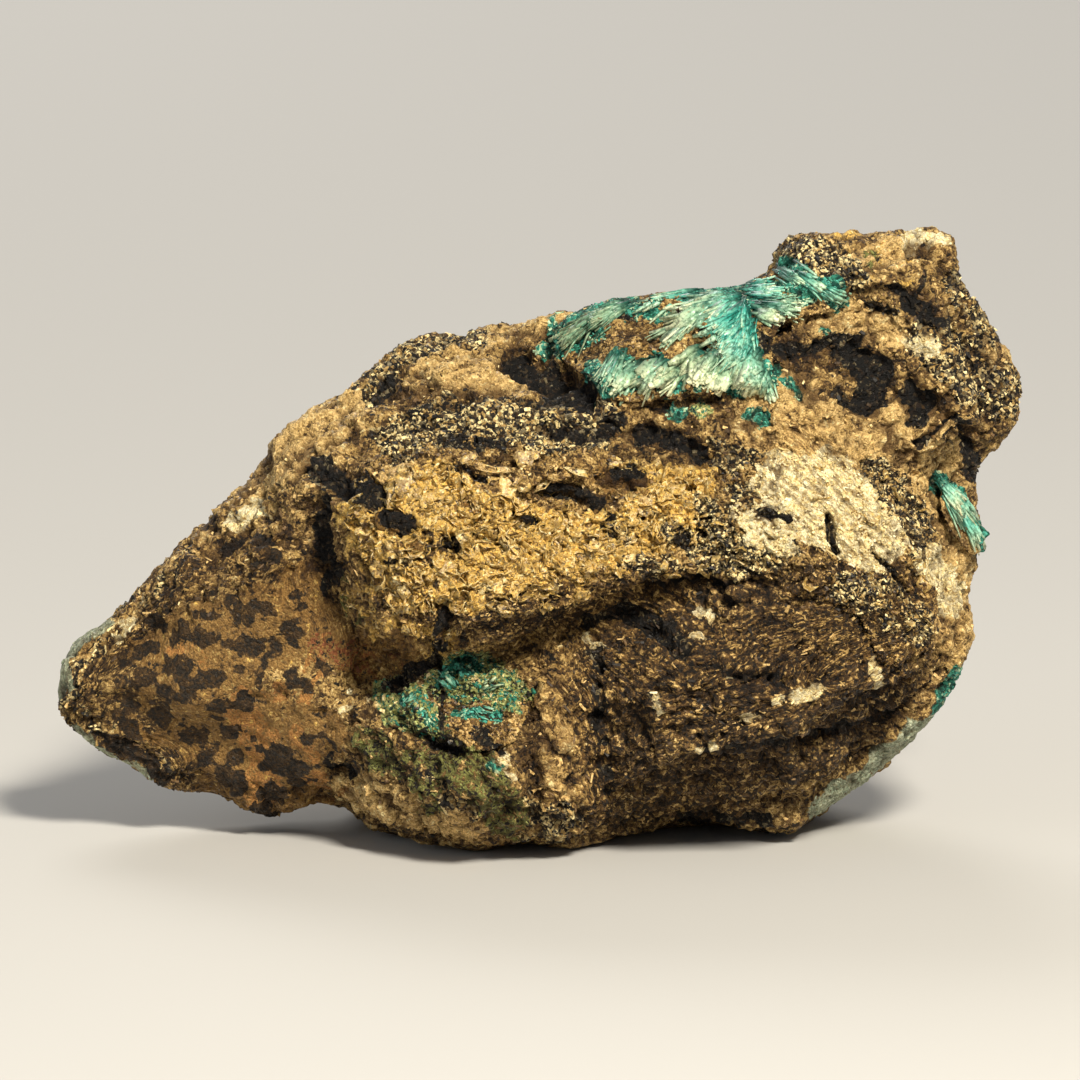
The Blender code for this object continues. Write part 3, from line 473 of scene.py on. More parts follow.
def blocks(points, size, seed):
    """Irregular blocks of this size: a random number from 0 to 1 for each, and the gap to its border."""
    place = points / size
    cell = np.floor(place).astype(np.int64)
    first = np.full(len(points), 9.0)
    second = np.full(len(points), 9.0)
    label = np.zeros(len(points))
    for shift in np.ndindex(3, 3, 3):
        near = cell + np.array(shift) - 1
        spot = np.stack([lattice_value(near, seed, axis) * 0.5 + 0.5 for axis in range(3)], axis=1)
        distance = np.linalg.norm(near + spot - place, axis=1)
        closer = distance < first
        second = np.where(closer, first, np.minimum(second, distance))
        label = np.where(closer, lattice_value(near, seed, 7) * 0.5 + 0.5, label)
        first = np.where(closer, distance, first)
    return label, second - first


def to_picture(points):
    """Picture points of specimen points, and their depth behind the picture's middle plane."""
    face = (points - np.array(LEAN.translation)) @ TURN
    return np.stack([MIDDLE[0] + face[:, 0] / POINT, MIDDLE[1] - face[:, 2] / POINT], axis=1), face[:, 1]


def sight_start(spot):
    """The place in front of the specimen from which a sight line meets this picture point."""
    return LEAN @ Vector(((spot[0] - MIDDLE[0]) * POINT, -100 * MM, (MIDDLE[1] - spot[1]) * POINT))


def line_distance(at, line):
    nearest = np.full(len(at), np.inf)
    ends = np.array(line, float)
    for start, stop in zip(ends[:-1], ends[1:]):
        run = stop - start
        share = np.clip((at - start) @ run / max(run @ run, 1e-9), 0, 1)
        nearest = np.minimum(nearest, np.linalg.norm(at - start - share[:, None] * run, axis=1))
    return nearest


def brush(at, radius, line):
    """How fully a soft brush drawn along the line covers each point."""
    ends = np.array(line, float)
    low, high = ends.min(axis=0) - 1.25 * radius, ends.max(axis=0) + 1.25 * radius
    near = np.flatnonzero(np.all((at > low) & (at < high), axis=1))
    cover = np.zeros(len(at))
    cover[near] = 1 - smooth_step(0.55 * radius, 1.25 * radius, line_distance(at[near], line))
    return cover


def cover_of(at, marks):
    """The fullest cover by any of these marks."""
    return np.max([brush(at, radius, line) for radius, *line in marks], axis=0)


def frontness(points, depth):
    return 1 - smooth_step(*FRONT_ENDS, depth + 1.5 * MM * noise(points, 5 * MM, 3))


def wander(points, at):
    """Picture points pushed about, so that brushes leave ragged borders."""
    return at + 9 * noise_vectors(points, 2.8 * MM, 11, 2) + 5 * noise_vectors(points, 1.0 * MM, 14, 2)


def mixtures(points):
    """How much of each mixture and texture lies at each point."""
    at, depth = to_picture(points)
    front = frontness(points, depth)
    at = 0.3 * at + 0.7 * wander(points, at)
    found = {name: np.zeros(len(points)) for name in LAYERS}
    for name, strokes in STROKES.items():
        for strength, radius, *line in strokes:
            weight = strength * brush(at, radius, line) * front
            if name == "base":
                for layer in LAYERS:
                    found[layer] = found[layer] * (1 - weight)
            else:
                found[name] = np.maximum(found[name], weight)
    behind = 1 - front
    for name, (strength, size, low, high, seed) in BACK_PATCHES.items():
        weight = strength * smooth_step(low, high, noise(points, size * MM, seed)) * behind
        found[name] = np.maximum(found[name], weight)
    textures = {name: cover_of(at, marks) * front for name, marks in TEXTURES.items()}
    spot_shape = noise(points, 0.9 * MM, 41) + 0.5 * noise(points, 0.45 * MM, 42)
    drawn = cover_of(at, SPOTS) * front
    patch, gap = blocks(points * (0.85, 1, 1.15) + 0.3 * MM * spot_shape[:, None], 1.3 * MM, 46)
    small = textures["spots"] * smooth_step(0.66, 0.70, patch) * smooth_step(0.10, 0.22, gap)
    spots = np.maximum(smooth_step(0.38, 0.56, drawn + 0.20 * spot_shape), small)
    label, _ = blocks(points + 0.3 * MM * noise(points, 1.0 * MM, 43)[:, None], 1.2 * MM, 44)
    field = 0.5 * label + 0.5 * smooth_step(-0.5, 0.5, noise(points, 1.7 * MM, 45))
    for name in LAYERS:
        found[name] = smooth_step(0, 0.35, 1.35 * found[name] - field)
    found["spot"] = np.maximum(found["spot"], spots)
    flecks = noise(points * (0.5, 1, 1), 0.9 * MM, 39) + 0.5 * noise(points, 0.6 * MM, 40)
    found["sand"] = np.maximum(found["sand"], found["brown"] * smooth_step(0.34, 0.54, flecks))
    layered = smooth_step(0.0, 0.3, noise(points, 9 * MM, 47)) * behind
    textures["fibrous"] = np.maximum(textures["fibrous"], layered)
    return found, textures, front


def unit(vectors):
    return vectors / np.linalg.norm(vectors, axis=1)[:, None]


def flow(at):
    """The direction that grains lie in at each picture point, as across and down."""
    total = np.zeros((len(at), 2))
    for line in FLOWS:
        ends = np.array(line, float)
        for start, stop in zip(ends[:-1], ends[1:]):
            away = line_distance(at, (start, stop))
            run = (stop - start) / np.linalg.norm(stop - start)
            total += run / (away[:, None] + 8) ** 3
    return unit(total)


def flow_in_space(points):
    at, _ = to_picture(points)
    way = flow(at)
    return way[:, :1] * TURN[:, 0] - way[:, 1:] * TURN[:, 2]


def along_surface(ways, normals):
    """Directions laid flat on a surface."""
    return unit(ways - np.sum(ways * normals, axis=1)[:, None] * normals)


def numbers_of(items, key, kind=np.int32, width=1):
    values = np.empty(len(items) * width, kind)
    items.foreach_get(key, values)
    return values


def vectors_of(items, key):
    return numbers_of(items, key, np.float32, 3).reshape(-1, 3).astype(float)


def points_of(mesh):
    return vectors_of(mesh.vertices, "co")


def normals_of(mesh):
    return vectors_of(mesh.vertex_normals, "vector")


def above_floor(points):
    points[:, 2] = np.maximum(points[:, 2], 0)
    return points


def set_points(mesh, points):
    mesh.vertices.foreach_set("co", points.astype(np.float32).ravel())
    mesh.update()


def set_value(mesh, name, values):
    layer = mesh.attributes.new(name, "FLOAT", "POINT")
    layer.data.foreach_set("value", np.asarray(values, np.float32))


def set_vector(mesh, name, vectors):
    layer = mesh.attributes.new(name, "FLOAT_VECTOR", "POINT")
    layer.data.foreach_set("vector", vectors.astype(np.float32).ravel())


def set_colour(mesh, name, colours):
    layer = mesh.attributes.new(name, "FLOAT_COLOR", "POINT")
    solid = np.concatenate([colours, np.ones((len(colours), 1))], axis=1)
    layer.data.foreach_set("color", solid.astype(np.float32).ravel())


def quad_mesh(name, points, quads):
    """A mesh of four-sided faces from arrays of points and of point numbers."""
    mesh = bpy.data.meshes.new(name)
    mesh.vertices.add(len(points))
    mesh.vertices.foreach_set("co", points.astype(np.float32).ravel())
    mesh.loops.add(quads.size)
    mesh.loops.foreach_set("vertex_index", quads.astype(np.int32).ravel())
    mesh.polygons.add(len(quads))
    mesh.polygons.foreach_set("loop_start", np.arange(0, quads.size, 4, dtype=np.int32))
    mesh.update(calc_edges=True)
    return mesh


def repeat_faces(sides, count, corners):
    """The faces of one small solid, as point numbers, for this many solids."""
    return (np.arange(count)[:, None, None] * corners + np.array(sides)).reshape(-1, 4)


def add_object(name, data):
    thing = bpy.data.objects.new(name, data)
    bpy.context.scene.collection.objects.link(thing)
    return thing


def add_piece(name, mesh, material, node=None, smooth=True):
    piece = add_object(name, mesh)
    mesh.materials.clear()
    mesh.materials.append(material)
    mesh.polygons.foreach_set("use_smooth", [smooth] * len(mesh.polygons))
    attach(piece, "root")
    if node:
        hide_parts(node)
    return piece


def evaluated_mesh(copy):
    bpy.context.view_layer.update()
    graph = bpy.context.evaluated_depsgraph_get()
    result = copy.evaluated_get(graph)
    return bpy.data.meshes.new_from_object(result, preserve_all_data_layers=True, depsgraph=graph)


def thin_out(mesh, target, hidden):
    """The mesh with at most this many triangles: fewer where it is hidden, then where it is flat."""
    total = int((numbers_of(mesh.polygons, "loop_total") - 2).sum())
    if total <= target:
        return mesh
    copy = add_object("thinned", mesh)
    copy.vertex_groups.new(name="hidden").add(np.flatnonzero(hidden).tolist(), 1.0, "REPLACE")
    first_share = max(1 - 0.5 * np.mean(hidden), target / total)
    for name, share, group in (("hidden", first_share, "hidden"), ("flat", target / total / first_share, "")):
        if share < 1:
            thin = copy.modifiers.new(name, "DECIMATE")
            thin.ratio = share
            thin.vertex_group = group
    thinned = evaluated_mesh(copy)
    bpy.data.objects.remove(copy)
    set_points(thinned, above_floor(points_of(thinned)))
    return thinned


def dense_copy(node, square, softening):
    """A node's surface rebuilt from squares of this size."""
    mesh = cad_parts[node].data.copy()
    work = bmesh.new()
    work.from_mesh(mesh)
    bmesh.ops.remove_doubles(work, verts=work.verts, dist=0.001 * MM)
    work.to_mesh(mesh)
    work.free()
    copy = add_object(node + "_copy", mesh)
    remesh = copy.modifiers.new("even", "REMESH")
    remesh.mode = "VOXEL"
    remesh.voxel_size = square
    soften = copy.modifiers.new("soften", "SMOOTH")
    soften.factor = 0.5
    soften.iterations = softening
    dense = evaluated_mesh(copy)
    bpy.data.objects.remove(copy)
    return dense


def roughen(mesh, amount, boxwork=0.0, relief=1.0):
    """Lumps, blocks, layers, cracks and pores, the mixtures for the material to read, and the painted shade
    of hollows and pits.
    """
    points = points_of(mesh)
    normals = normals_of(mesh)
    found, textures, front = mixtures(points)
    at, _ = to_picture(points)
    at = at + 4 * noise_vectors(points, 1.6 * MM, 51, 2)
    stirred = points + 0.45 * MM * noise_vectors(points, 1.5 * MM, 61, 3)

    # Lumps, and blocks of three sizes with cracks between them
    large, large_gap = blocks(stirred, 3.1 * MM, 64)
    small, small_gap = blocks(stirred, 1.35 * MM, 65)
    tiny, _ = blocks(stirred, 0.7 * MM, 66)
    height = 0.45 * noise(points, 3.6 * MM, 67) + 0.30 * noise(points, 1.6 * MM, 68)
    height += 0.75 * (large - 0.5) + 0.62 * (small - 0.5) + 0.34 * (tiny - 0.5)
    height -= 0.40 * (1 - smooth_step(0, 0.16, large_gap)) + 0.26 * (1 - smooth_step(0, 0.2, small_gap))
    # Fibres or layers that run with the flow
    way = flow_in_space(points)
    cross = np.cross(way, SIGHT)
    along = np.sum(points * way, axis=1)
    across = np.sum(points * cross, axis=1)
    grain_place = np.stack([along * 0.22, across, np.sum(points * SIGHT, axis=1) * 0.6], axis=1)
    fibres = noise(grain_place, 0.75 * MM, 71) + 0.6 * noise(grain_place, 0.38 * MM, 72)
    height += textures["fibrous"] * (0.55 * fibres - 0.35 * height)
    # Thin walls around small hollows
    walls = 1 - np.abs(noise(stirred, 1.8 * MM, 73)) * 3.2
    walls = np.maximum(walls, 1 - np.abs(noise(stirred, 0.95 * MM, 74)) * 3.4)
    height += boxwork * (1 - 0.8 * textures["fibrous"]) * (1.15 * np.clip(walls, -0.8, 1) - 0.2)
    # Pores, and calmer places
    pores = smooth_step(0.1, 0.35, noise(points, 1.5 * MM, 75) + 0.5 * noise(points, 0.7 * MM, 76))
    pores *= np.clip(0.45 + 0.6 * found["dark"] + 0.4 * found["grey"] - 0.5 * found["pale"], 0, 1)
    pores *= 1 - textures["calm"]
    height *= 1 - 0.72 * textures["calm"]
    height *= 1 - 0.6 * found["skin"]
    moved = amount * (height - 0.7 * pores) - 0.25 * found["dark"] * (1 - textures["calm"])
    # Drawn relief, less of everything at the outline, and none where it rests
    pits = np.zeros(len(points))
    for lift, radius, *line in RELIEF:
        change = lift * brush(at, radius, line) * front
        moved += relief * change
        pits = np.maximum(pits, -change)
    moved *= 0.55 + 0.45 * smooth_step(0.0, 0.4, np.abs(normals @ SIGHT))
    moved = np.clip(moved, -1.7, 0.75) * MM
    moved *= smooth_step(0.1 * MM, 1.0 * MM, points[:, 2])
    set_points(mesh, above_floor(points + normals * moved[:, None]))
    for name in LAYERS:
        set_value(mesh, name, found[name])
    set_value(mesh, "fibrous", textures["fibrous"])
    set_vector(mesh, "layers", grain_place / MM)
    # Painted shade: more where the surface sinks, in pores and in the drawn pits
    set_value(mesh, "painted_hollow_shade", np.clip(0.42 - 0.5 * height + 0.5 * pores + 0.6 * pits, 0, 1))
    textures["pits"] = smooth_step(0.35, 0.75, pits)
    return found, textures, front


class Shade:
    """Builds one material's nodes. Textures are measured in millimetres."""

    def __init__(self, name):
        self.material = bpy.data.materials.new(name)
        self.material.use_nodes = True
        self.tree = self.material.node_tree
        self.shader = self.tree.nodes["Principled BSDF"]
        place = self.add("ShaderNodeTexCoord").outputs["Object"]
        scaled = self.add("ShaderNodeVectorMath", operation="SCALE")
        self.feed(scaled.inputs[0], place)
        scaled.inputs["Scale"].default_value = 1 / MM
        self.place = scaled.outputs[0]

    def add(self, kind, **settings):
        node = self.tree.nodes.new(kind)
        for key, value in settings.items():
            setattr(node, key, value)
        return node

    def feed(self, socket, value):
        if isinstance(value, bpy.types.NodeSocket):
            self.tree.links.new(value, socket)
        elif isinstance(value, tuple) and socket.type == "RGBA":
            socket.default_value = (*value, 1)
        else:
            socket.default_value = value

    def value(self, name, output="Fac"):
        """What the mesh stores under this name."""
        return self.add("ShaderNodeAttribute", attribute_name=name).outputs[output]

    def math(self, operation, *values):
        node = self.add("ShaderNodeMath", operation=operation)
        for socket, value in zip(node.inputs, values):
            self.feed(socket, value)
        return node.outputs[0]

    def step(self, low, high, value):
        node = self.add("ShaderNodeMapRange", interpolation_type="SMOOTHSTEP")
        for key, fed in (("Value", value), ("From Min", low), ("From Max", high)):
            self.feed(node.inputs[key], fed)
        return node.outputs[0]

    def mix(self, share, first, second, blend="MIX"):
        node = self.add("ShaderNodeMix", data_type="RGBA", blend_type=blend)
        self.feed(node.inputs[0], share)
        self.feed(node.inputs[6], first)
        self.feed(node.inputs[7], second)
        return node.outputs[2]

    def split(self, colour):
        node = self.add("ShaderNodeSeparateColor")
        self.feed(node.inputs[0], colour)
        return node.outputs[:3]

    def warp(self, scale, amount):
        """The place pushed about by noise."""
        texture = self.add("ShaderNodeTexNoise")
        self.feed(texture.inputs["Vector"], self.place)
        texture.inputs["Scale"].default_value = scale
        texture.inputs["Detail"].default_value = 2
        push = self.add("ShaderNodeVectorMath", operation="MULTIPLY_ADD")
        self.feed(push.inputs[0], texture.outputs["Color"])
        push.inputs[1].default_value = (amount, amount, amount)
        self.feed(push.inputs[2], self.place)
        return push.outputs[0]

    def noise(self, scale, detail=4.0, roughness=0.6, place=None):
        node = self.add("ShaderNodeTexNoise")
        self.feed(node.inputs["Vector"], place or self.place)
        for key, fed in (("Scale", scale), ("Detail", detail), ("Roughness", roughness)):
            node.inputs[key].default_value = fed
        return node.outputs["Fac"]

    def cells(self, scale, place=None):
        node = self.add("ShaderNodeTexVoronoi")
        self.feed(node.inputs["Vector"], place or self.place)
        node.inputs["Scale"].default_value = scale
        return node

    def choice(self, texture, contrast, pick, share, start):
        """A place in a palette from 0 to 1: partly the grain's own number, partly a wider texture."""
        own = self.math("MULTIPLY_ADD", pick, share, start)
        mixed = self.math("MULTIPLY_ADD", self.math("SUBTRACT", texture, 0.5), contrast, own)
        return self.math("MINIMUM", self.math("MAXIMUM", mixed, 0.0), 0.999)

    def palette(self, shares, choice):
        """One of the palette's colours for each grain."""
        node = self.add("ShaderNodeValToRGB")
        ramp = node.color_ramp
        ramp.interpolation = "CONSTANT"
        start = 0.0
        for number, (share, colour) in enumerate(shares):
            stop = ramp.elements[number] if number < 2 else ramp.elements.new(start)
            stop.position = start
            stop.color = (*colour, 1)
            start += share
        self.feed(node.inputs[0], choice)
        return node.outputs[0]

    def bump(self, height, strength, distance, below=None):
        node = self.add("ShaderNodeBump")
        node.inputs["Strength"].default_value = strength
        node.inputs["Distance"].default_value = distance
        self.feed(node.inputs["Height"], height)
        if below is not None:
            self.feed(node.inputs["Normal"], below)
        return node.outputs[0]

    def finish(self, colour, roughness, normal=None, **settings):
        self.feed(self.shader.inputs["Base Color"], colour)
        self.feed(self.shader.inputs["Roughness"], roughness)
        if normal is not None:
            self.feed(self.shader.inputs["Normal"], normal)
        for key, value in settings.items():
            self.feed(self.shader.inputs[key.replace("_", " ")], value)
        return self.material


def ground_material(name, grain_scale):
    """Grains of the mixtures: each grain takes one colour of the palette that its place calls for."""
    s = Shade(name)
    place = s.warp(2.2, 0.55)
    grains = s.cells(grain_scale, place)
    pick, second, third = s.split(grains.outputs["Color"])
    mottle = s.noise(0.9, 5, 0.7)
    fine = s.noise(5.0, 3, 0.65, place)
    streaks = s.noise(2.2, 4, 0.65, s.value("layers", "Vector"))
    fibrous = s.value("fibrous")
    even = s.choice(mottle, 1.9, pick, 0.55, 0.22)
    banded = s.choice(streaks, 1.8, pick, 0.75, 0.10)
    border = s.math("MULTIPLY_ADD", s.math("ADD", second, s.step(0.3, 0.7, fine)), 0.36, 0.14)
    colour = s.palette(PALETTES["base"], even)
    for layer in LAYERS:
        edge = s.math("MULTIPLY_ADD", border, 0.4, 0.3) if layer in CRISP else border
        mask = s.step(-0.1, 0.1, s.math("SUBTRACT", s.value(layer), edge))
        choice = pick if layer in SALT_AND_PEPPER else even
        if layer == "brown":
            choice = banded
        colour = s.mix(mask, colour, s.palette(PALETTES[layer], choice))
    colour = s.mix(1.0, colour, s.mix(s.step(0.36, 0.62, fine), DIRT, FACE), "MULTIPLY")
    # Painted shade along the fibres' grooves and painted highlight along their ribs, where the bump sinks and
    # rises
    painted_fibre_shading = s.mix(s.step(0.40, 0.58, streaks), PAINTED_GROOVE_SHADE, PAINTED_RIB_HIGHLIGHT)
    colour = s.mix(s.math("MULTIPLY", fibrous, 0.8), colour, painted_fibre_shading, "MULTIPLY")
    # Painted shade in the hollows, pores and pits
    deep = s.step(0.42, 0.9, s.value("painted_hollow_shade"))
    colour = s.mix(s.math("MULTIPLY", deep, 0.9), colour, PAINTED_PIT_SHADE, "MULTIPLY")
    rough = s.math("SUBTRACT", 0.78, s.math("MULTIPLY", s.step(0.62, 0.95, third), 0.46))
    height = s.math("MULTIPLY_ADD", grains.outputs["Distance"], -0.5, s.noise(2.4, 5, 0.7))
    height = s.math("MULTIPLY_ADD", s.math("MULTIPLY", fibrous, streaks), 0.9, height)
    normal = s.bump(height, 1.0, 0.36 * MM)
    return s.finish(colour, rough, normal, Specular_IOR_Level=0.32)


def chip_material(name, roughness, transmission=0.0):
    """Loose grains: each has its own colour, dulled by fine dirt. Clear plates carry more of it."""
    s = Shade(name)
    dirt = s.noise(5.0, 3, 0.6)
    shade = s.mix(s.step(0.35, 0.65, dirt), DIRT, (1.0, 1.0, 1.0))
    colour = s.mix(1.0, s.value("grain", "Color"), shade, "MULTIPLY")
    if transmission:
        crumbs = s.cells(3.4, s.warp(2.2, 0.55)).outputs["Color"]
        crumb = s.palette(PALETTES["gold"], s.split(crumbs)[0])
        colour = s.mix(s.step(0.44, 0.60, s.noise(1.6, 3, 0.6)), colour, crumb)
    rough = s.math("MULTIPLY_ADD", dirt, 0.3, roughness)
    normal = s.bump(dirt, 0.8, 0.12 * MM)
    if transmission:
        return s.finish(colour, rough, normal, Transmission_Weight=transmission, IOR=1.61)
    return s.finish(colour, rough, normal, Specular_IOR_Level=0.4)


def blade_material():
    """Silky aurichalcite: deep roots, teal or greyish green middles, and mint or cream tips."""
    s = Shade("aurichalcite_blades")
    tint = s.value("tint")
    tone = s.value("tone")
    along = s.value("along")
    streak = s.noise(2.0, 4, 0.65)
    middle = s.mix(tone, SAGE, SEA)
    light = s.mix(tone, LICHEN, CYAN)
    tip = s.mix(tint, light, BLOSSOM)
    middle = s.mix(s.math("MULTIPLY", tint, 0.75), middle, light)
    colour = s.mix(s.step(0.0, 0.45, along), DEEP_TEAL, middle)
    colour = s.mix(s.step(0.35, 1.0, along), colour, tip)
    colour = s.mix(1.0, colour, s.mix(s.step(0.36, 0.56, streak), BLADE_SHADE, BLADE_LIGHT), "MULTIPLY")
    colour = s.mix(s.step(0.60, 0.70, streak), colour, STAIN)
    rough = s.math("MULTIPLY_ADD", streak, 0.3, 0.18)
    return s.finish(colour, rough, None, Specular_IOR_Level=0.5)


def pick_faces(mesh, count, chance, density):
    """Random faces, the denser parts of the surface more often: their middles and normals."""
    faces = mesh.polygons
    first = numbers_of(mesh.loops, "vertex_index")[numbers_of(faces, "loop_start")]
    weight = numbers_of(faces, "area", np.float32).astype(float) * density[first]
    chosen = chance.choice(len(faces), count, p=weight / weight.sum())
    return vectors_of(faces, "center")[chosen], vectors_of(faces, "normal")[chosen], first[chosen]


def palette_colours(name, draw):
    shares = np.cumsum([share for share, _ in PALETTES[name]])
    colours = np.array([colour for _, colour in PALETTES[name]])
    return colours[np.minimum(np.searchsorted(shares, draw), len(colours) - 1)]


def grain_colours(found, chosen, centres, chance):
    """Colours of grains: like their neighbours', except where the mixture is salt and pepper."""
    free = chance.random(len(chosen))
    even = np.clip(0.5 + 0.4 * noise(centres, 1.2 * MM, 48) + 0.6 * (free - 0.5), 0, 1)
    colour = palette_colours("base", even)
    for layer in LAYERS:
        here = found[layer][chosen] > chance.uniform(0.2, 0.8, len(chosen))
        draw = free if layer in SALT_AND_PEPPER else even
        colour = np.where(here[:, None], palette_colours(layer, draw), colour)
    return colour * chance.uniform(0.8, 1.15, len(chosen))[:, None]


def grain_density(found):
    density = np.full(len(found["sand"]), 0.6)
    for layer in LAYERS:
        density += found[layer] * (GRAIN_SHARE[layer] - density)
    return density


def chip_mesh(name, centres, normals, colours, fibrous, chance, sizes, tilt, sunk):
    """Tapered slabs, longer where the rock is fibrous, that lie along its grain, half sunk."""
    length, width, thickness = sizes
    count = len(centres)
    way = along_surface(flow_in_space(centres) + chance.normal(0, 0.45, (count, 3)), normals)
    lean = chance.normal(0, tilt, count)[:, None]
    long_way = way * np.cos(lean) + normals * np.sin(lean)
    up = normals * np.cos(lean) - way * np.sin(lean)
    side = np.cross(up, long_way)
    roll = chance.normal(0, tilt, count)[:, None]
    wide_way = side * np.cos(roll) + up * np.sin(roll)
    thick_way = up * np.cos(roll) - side * np.sin(roll)
    size = np.minimum(chance.lognormal(0, 0.38, count), 1.7)[:, None] * MM
    stretch = 1 + 0.6 * fibrous[:, None]
    points = np.empty((count, 8, 3))
    for number, (end, edge, face) in enumerate(np.ndindex(2, 2, 2)):
        taper = chance.uniform(0.35, 1.0, (count, 1))
        reach = long_way * (end - 0.5) * length * stretch * chance.uniform(0.7, 1.1, (count, 1))
        spread = wide_way * (edge - 0.5) * width * taper / stretch
        rise = thick_way * (face - 0.5) * thickness * taper
        points[:, number] = centres + (reach + spread + rise) * size
    points -= (normals * sunk * MM)[:, None, :]
    sides = [(0, 1, 3, 2), (4, 6, 7, 5), (0, 4, 5, 1), (2, 3, 7, 6), (0, 2, 6, 4), (1, 5, 7, 3)]
    mesh = quad_mesh(name, above_floor(points.reshape(-1, 3)), repeat_faces(sides, count, 8))
    set_colour(mesh, "grain", np.repeat(colours, 8, axis=0))
    return mesh


def grain_mesh(name, mesh, found, density, fibrous, count, chance, sizes, tilt, sunk):
    """Loose grains on a surface, in the colours of the mixtures below them."""
    centres, normals, chosen = pick_faces(mesh, count, chance, density)
    colours = grain_colours(found, chosen, centres, chance)
    return chip_mesh(name, centres, normals, colours, fibrous[chosen], chance, sizes, tilt, sunk)


def flake_mesh(name, centres, normals, ways, colours, halves, leans, chance):
    """Thin curled flakes, each a closed shell, that stand half out of the ground."""
    count = len(centres)
    steps = np.linspace(-1, 1, 4)
    along, across = (side.ravel() for side in np.meshgrid(steps, steps, indexing="ij"))
    ways = along_surface(ways, normals)
    side = np.cross(normals, ways)
    wide_way = side * np.cos(leans)[:, None] + normals * np.sin(leans)[:, None]
    up = np.cross(ways, wide_way)
    ragged = chance.uniform(0.6, 1.15, (count, 16)) * (1 - 0.25 * along ** 2 * across ** 2)
    curl = chance.uniform(0.05, 0.45, (count, 1)) * along ** 2
    curl = curl + chance.uniform(0.1, 0.6, (count, 1)) * across ** 2
    reach = ways[:, None] * (ragged * along * halves[:, :1])[..., None]
    reach += wide_way[:, None] * (ragged * across * halves[:, 1:])[..., None]
    reach += up[:, None] * (curl * halves[:, 1:] - 0.18 * halves[:, 1:])[..., None]
    flat = centres[:, None] + reach * MM
    crumple = noise(flat.reshape(-1, 3), 0.8 * MM, 50).reshape(count, 16)
    flat = flat + up[:, None] * (0.25 * MM * crumple)[..., None]
    thick = up[:, None] * 0.045 * MM
    points = np.concatenate([flat + thick, flat - thick], axis=1).reshape(-1, 3)
    grid = [(row * 4 + column, row * 4 + 4 + column, row * 4 + 5 + column, row * 4 + 1 + column)
            for row in range(3) for column in range(3)]
    rim = [0, 1, 2, 3, 7, 11, 15, 14, 13, 12, 8, 4]
    sides = grid + [tuple(corner + 16 for corner in reversed(face)) for face in grid]
    sides += [(spot, after, after + 16, spot + 16) for spot, after in zip(rim, rim[1:] + rim[:1])]
    mesh = quad_mesh(name, above_floor(points), repeat_faces(sides, count, 32))
    set_colour(mesh, "grain", np.repeat(colours, 32, axis=0))
    return mesh


def add_rock(chance):
    rock = dense_copy("matrix_rock", ROCK_SQUARE, 4)
    found, textures, front = roughen(rock, 0.9)
    points = points_of(rock)
    density = grain_density(found) * (0.2 + 0.8 * front) * (1 - 0.85 * textures["calm"])
    density *= smooth_step(0.3 * MM, 1.5 * MM, points[:, 2]) * (1 - 0.7 * textures["pits"])
    density *= 0.3 + 0.7 * smooth_step(0.05, 0.5, np.abs(normals_of(rock) @ SIGHT))
    fibrous = textures["fibrous"]
    chips = grain_mesh(
        "rock_grains", rock, found, density, fibrous, ROCK_GRAINS, chance, ROCK_GRAIN, 0.3, 0.04)
    rock = thin_out(rock, MOST_TRIANGLES, to_picture(points)[1] > FRONT_ENDS[0])
    add_piece("rock_surface", rock, ground_material("gossan", 3.4), "matrix_rock")
    add_piece("rock_grains", chips, chip_material("gossan_grains", 0.4), None, False)


def add_crust(chance):
    crust = dense_copy("hemimorphite_crust", CRUST_SQUARE, 4)
    found, textures, _ = roughen(crust, 0.6, boxwork=0.8)
    tree = surface_tree(crust)
    outward = normals_of(crust) @ -SIGHT
    density = smooth_step(0.0, 0.5, outward) * (1 - textures["pits"]) * (0.3 + grain_density(found))
    density *= 1 - 0.7 * textures["calm"]
    fibrous = 0.3 * textures["fibrous"]
    chips = grain_mesh(
        "crust_crystals", crust, found, density, fibrous, CRUST_GRAINS, chance, CRUST_GRAIN, 0.45, 0.03)

    # Flakes strewn over the golden places, and the placed ones
    boxed = smooth_step(0.2, 0.7, outward) * (0.05 + found["gold"])
    centres, normals, chosen = pick_faces(crust, CRUST_FLAKES, chance, boxed)
    colours = 0.5 * grain_colours(found, chosen, centres, chance) + 0.5 * np.array(GOLD)
    ways = flow_in_space(centres) + chance.normal(0, 0.7, (len(centres), 3))
    halves = chance.uniform(0.3, 1.1, (len(centres), 1)) * (1.0, 0.7)
    leans = chance.uniform(-0.9, 0.7, len(centres))
    placed = [(tree.ray_cast(sight_start(flake[0]), Vector(SIGHT)), flake) for flake in FLAKES]
    placed = [(hit[0], hit[1], flake) for hit, flake in placed if hit[0]]
    centres = np.concatenate([centres, [place for place, _, _ in placed]])
    normals = np.concatenate([normals, [-SIGHT for _ in placed]])
    across, down = np.array([flake[1] for _, _, flake in placed]).T
    ways = np.concatenate([ways, across[:, None] * TURN[:, 0] - down[:, None] * TURN[:, 2]])
    halves = np.concatenate([halves, [flake[2:4] for _, _, flake in placed]])
    leans = np.concatenate([leans, [flake[4] for _, _, flake in placed]])
    colours = np.concatenate([colours, [flake[5] for _, _, flake in placed]])
    flakes = flake_mesh("crust_plates", centres, normals, ways, colours, halves, leans, chance)
    crust = thin_out(crust, MOST_TRIANGLES, outward < 0)
    add_piece("crust_surface", crust, ground_material("druse", 4.0), "hemimorphite_crust")
    add_piece("crust_crystals", chips, chip_material("druse_grains", 0.2), None, False)
    add_piece("crust_plates", flakes, chip_material("hemimorphite_plates", 0.15, 0.3))


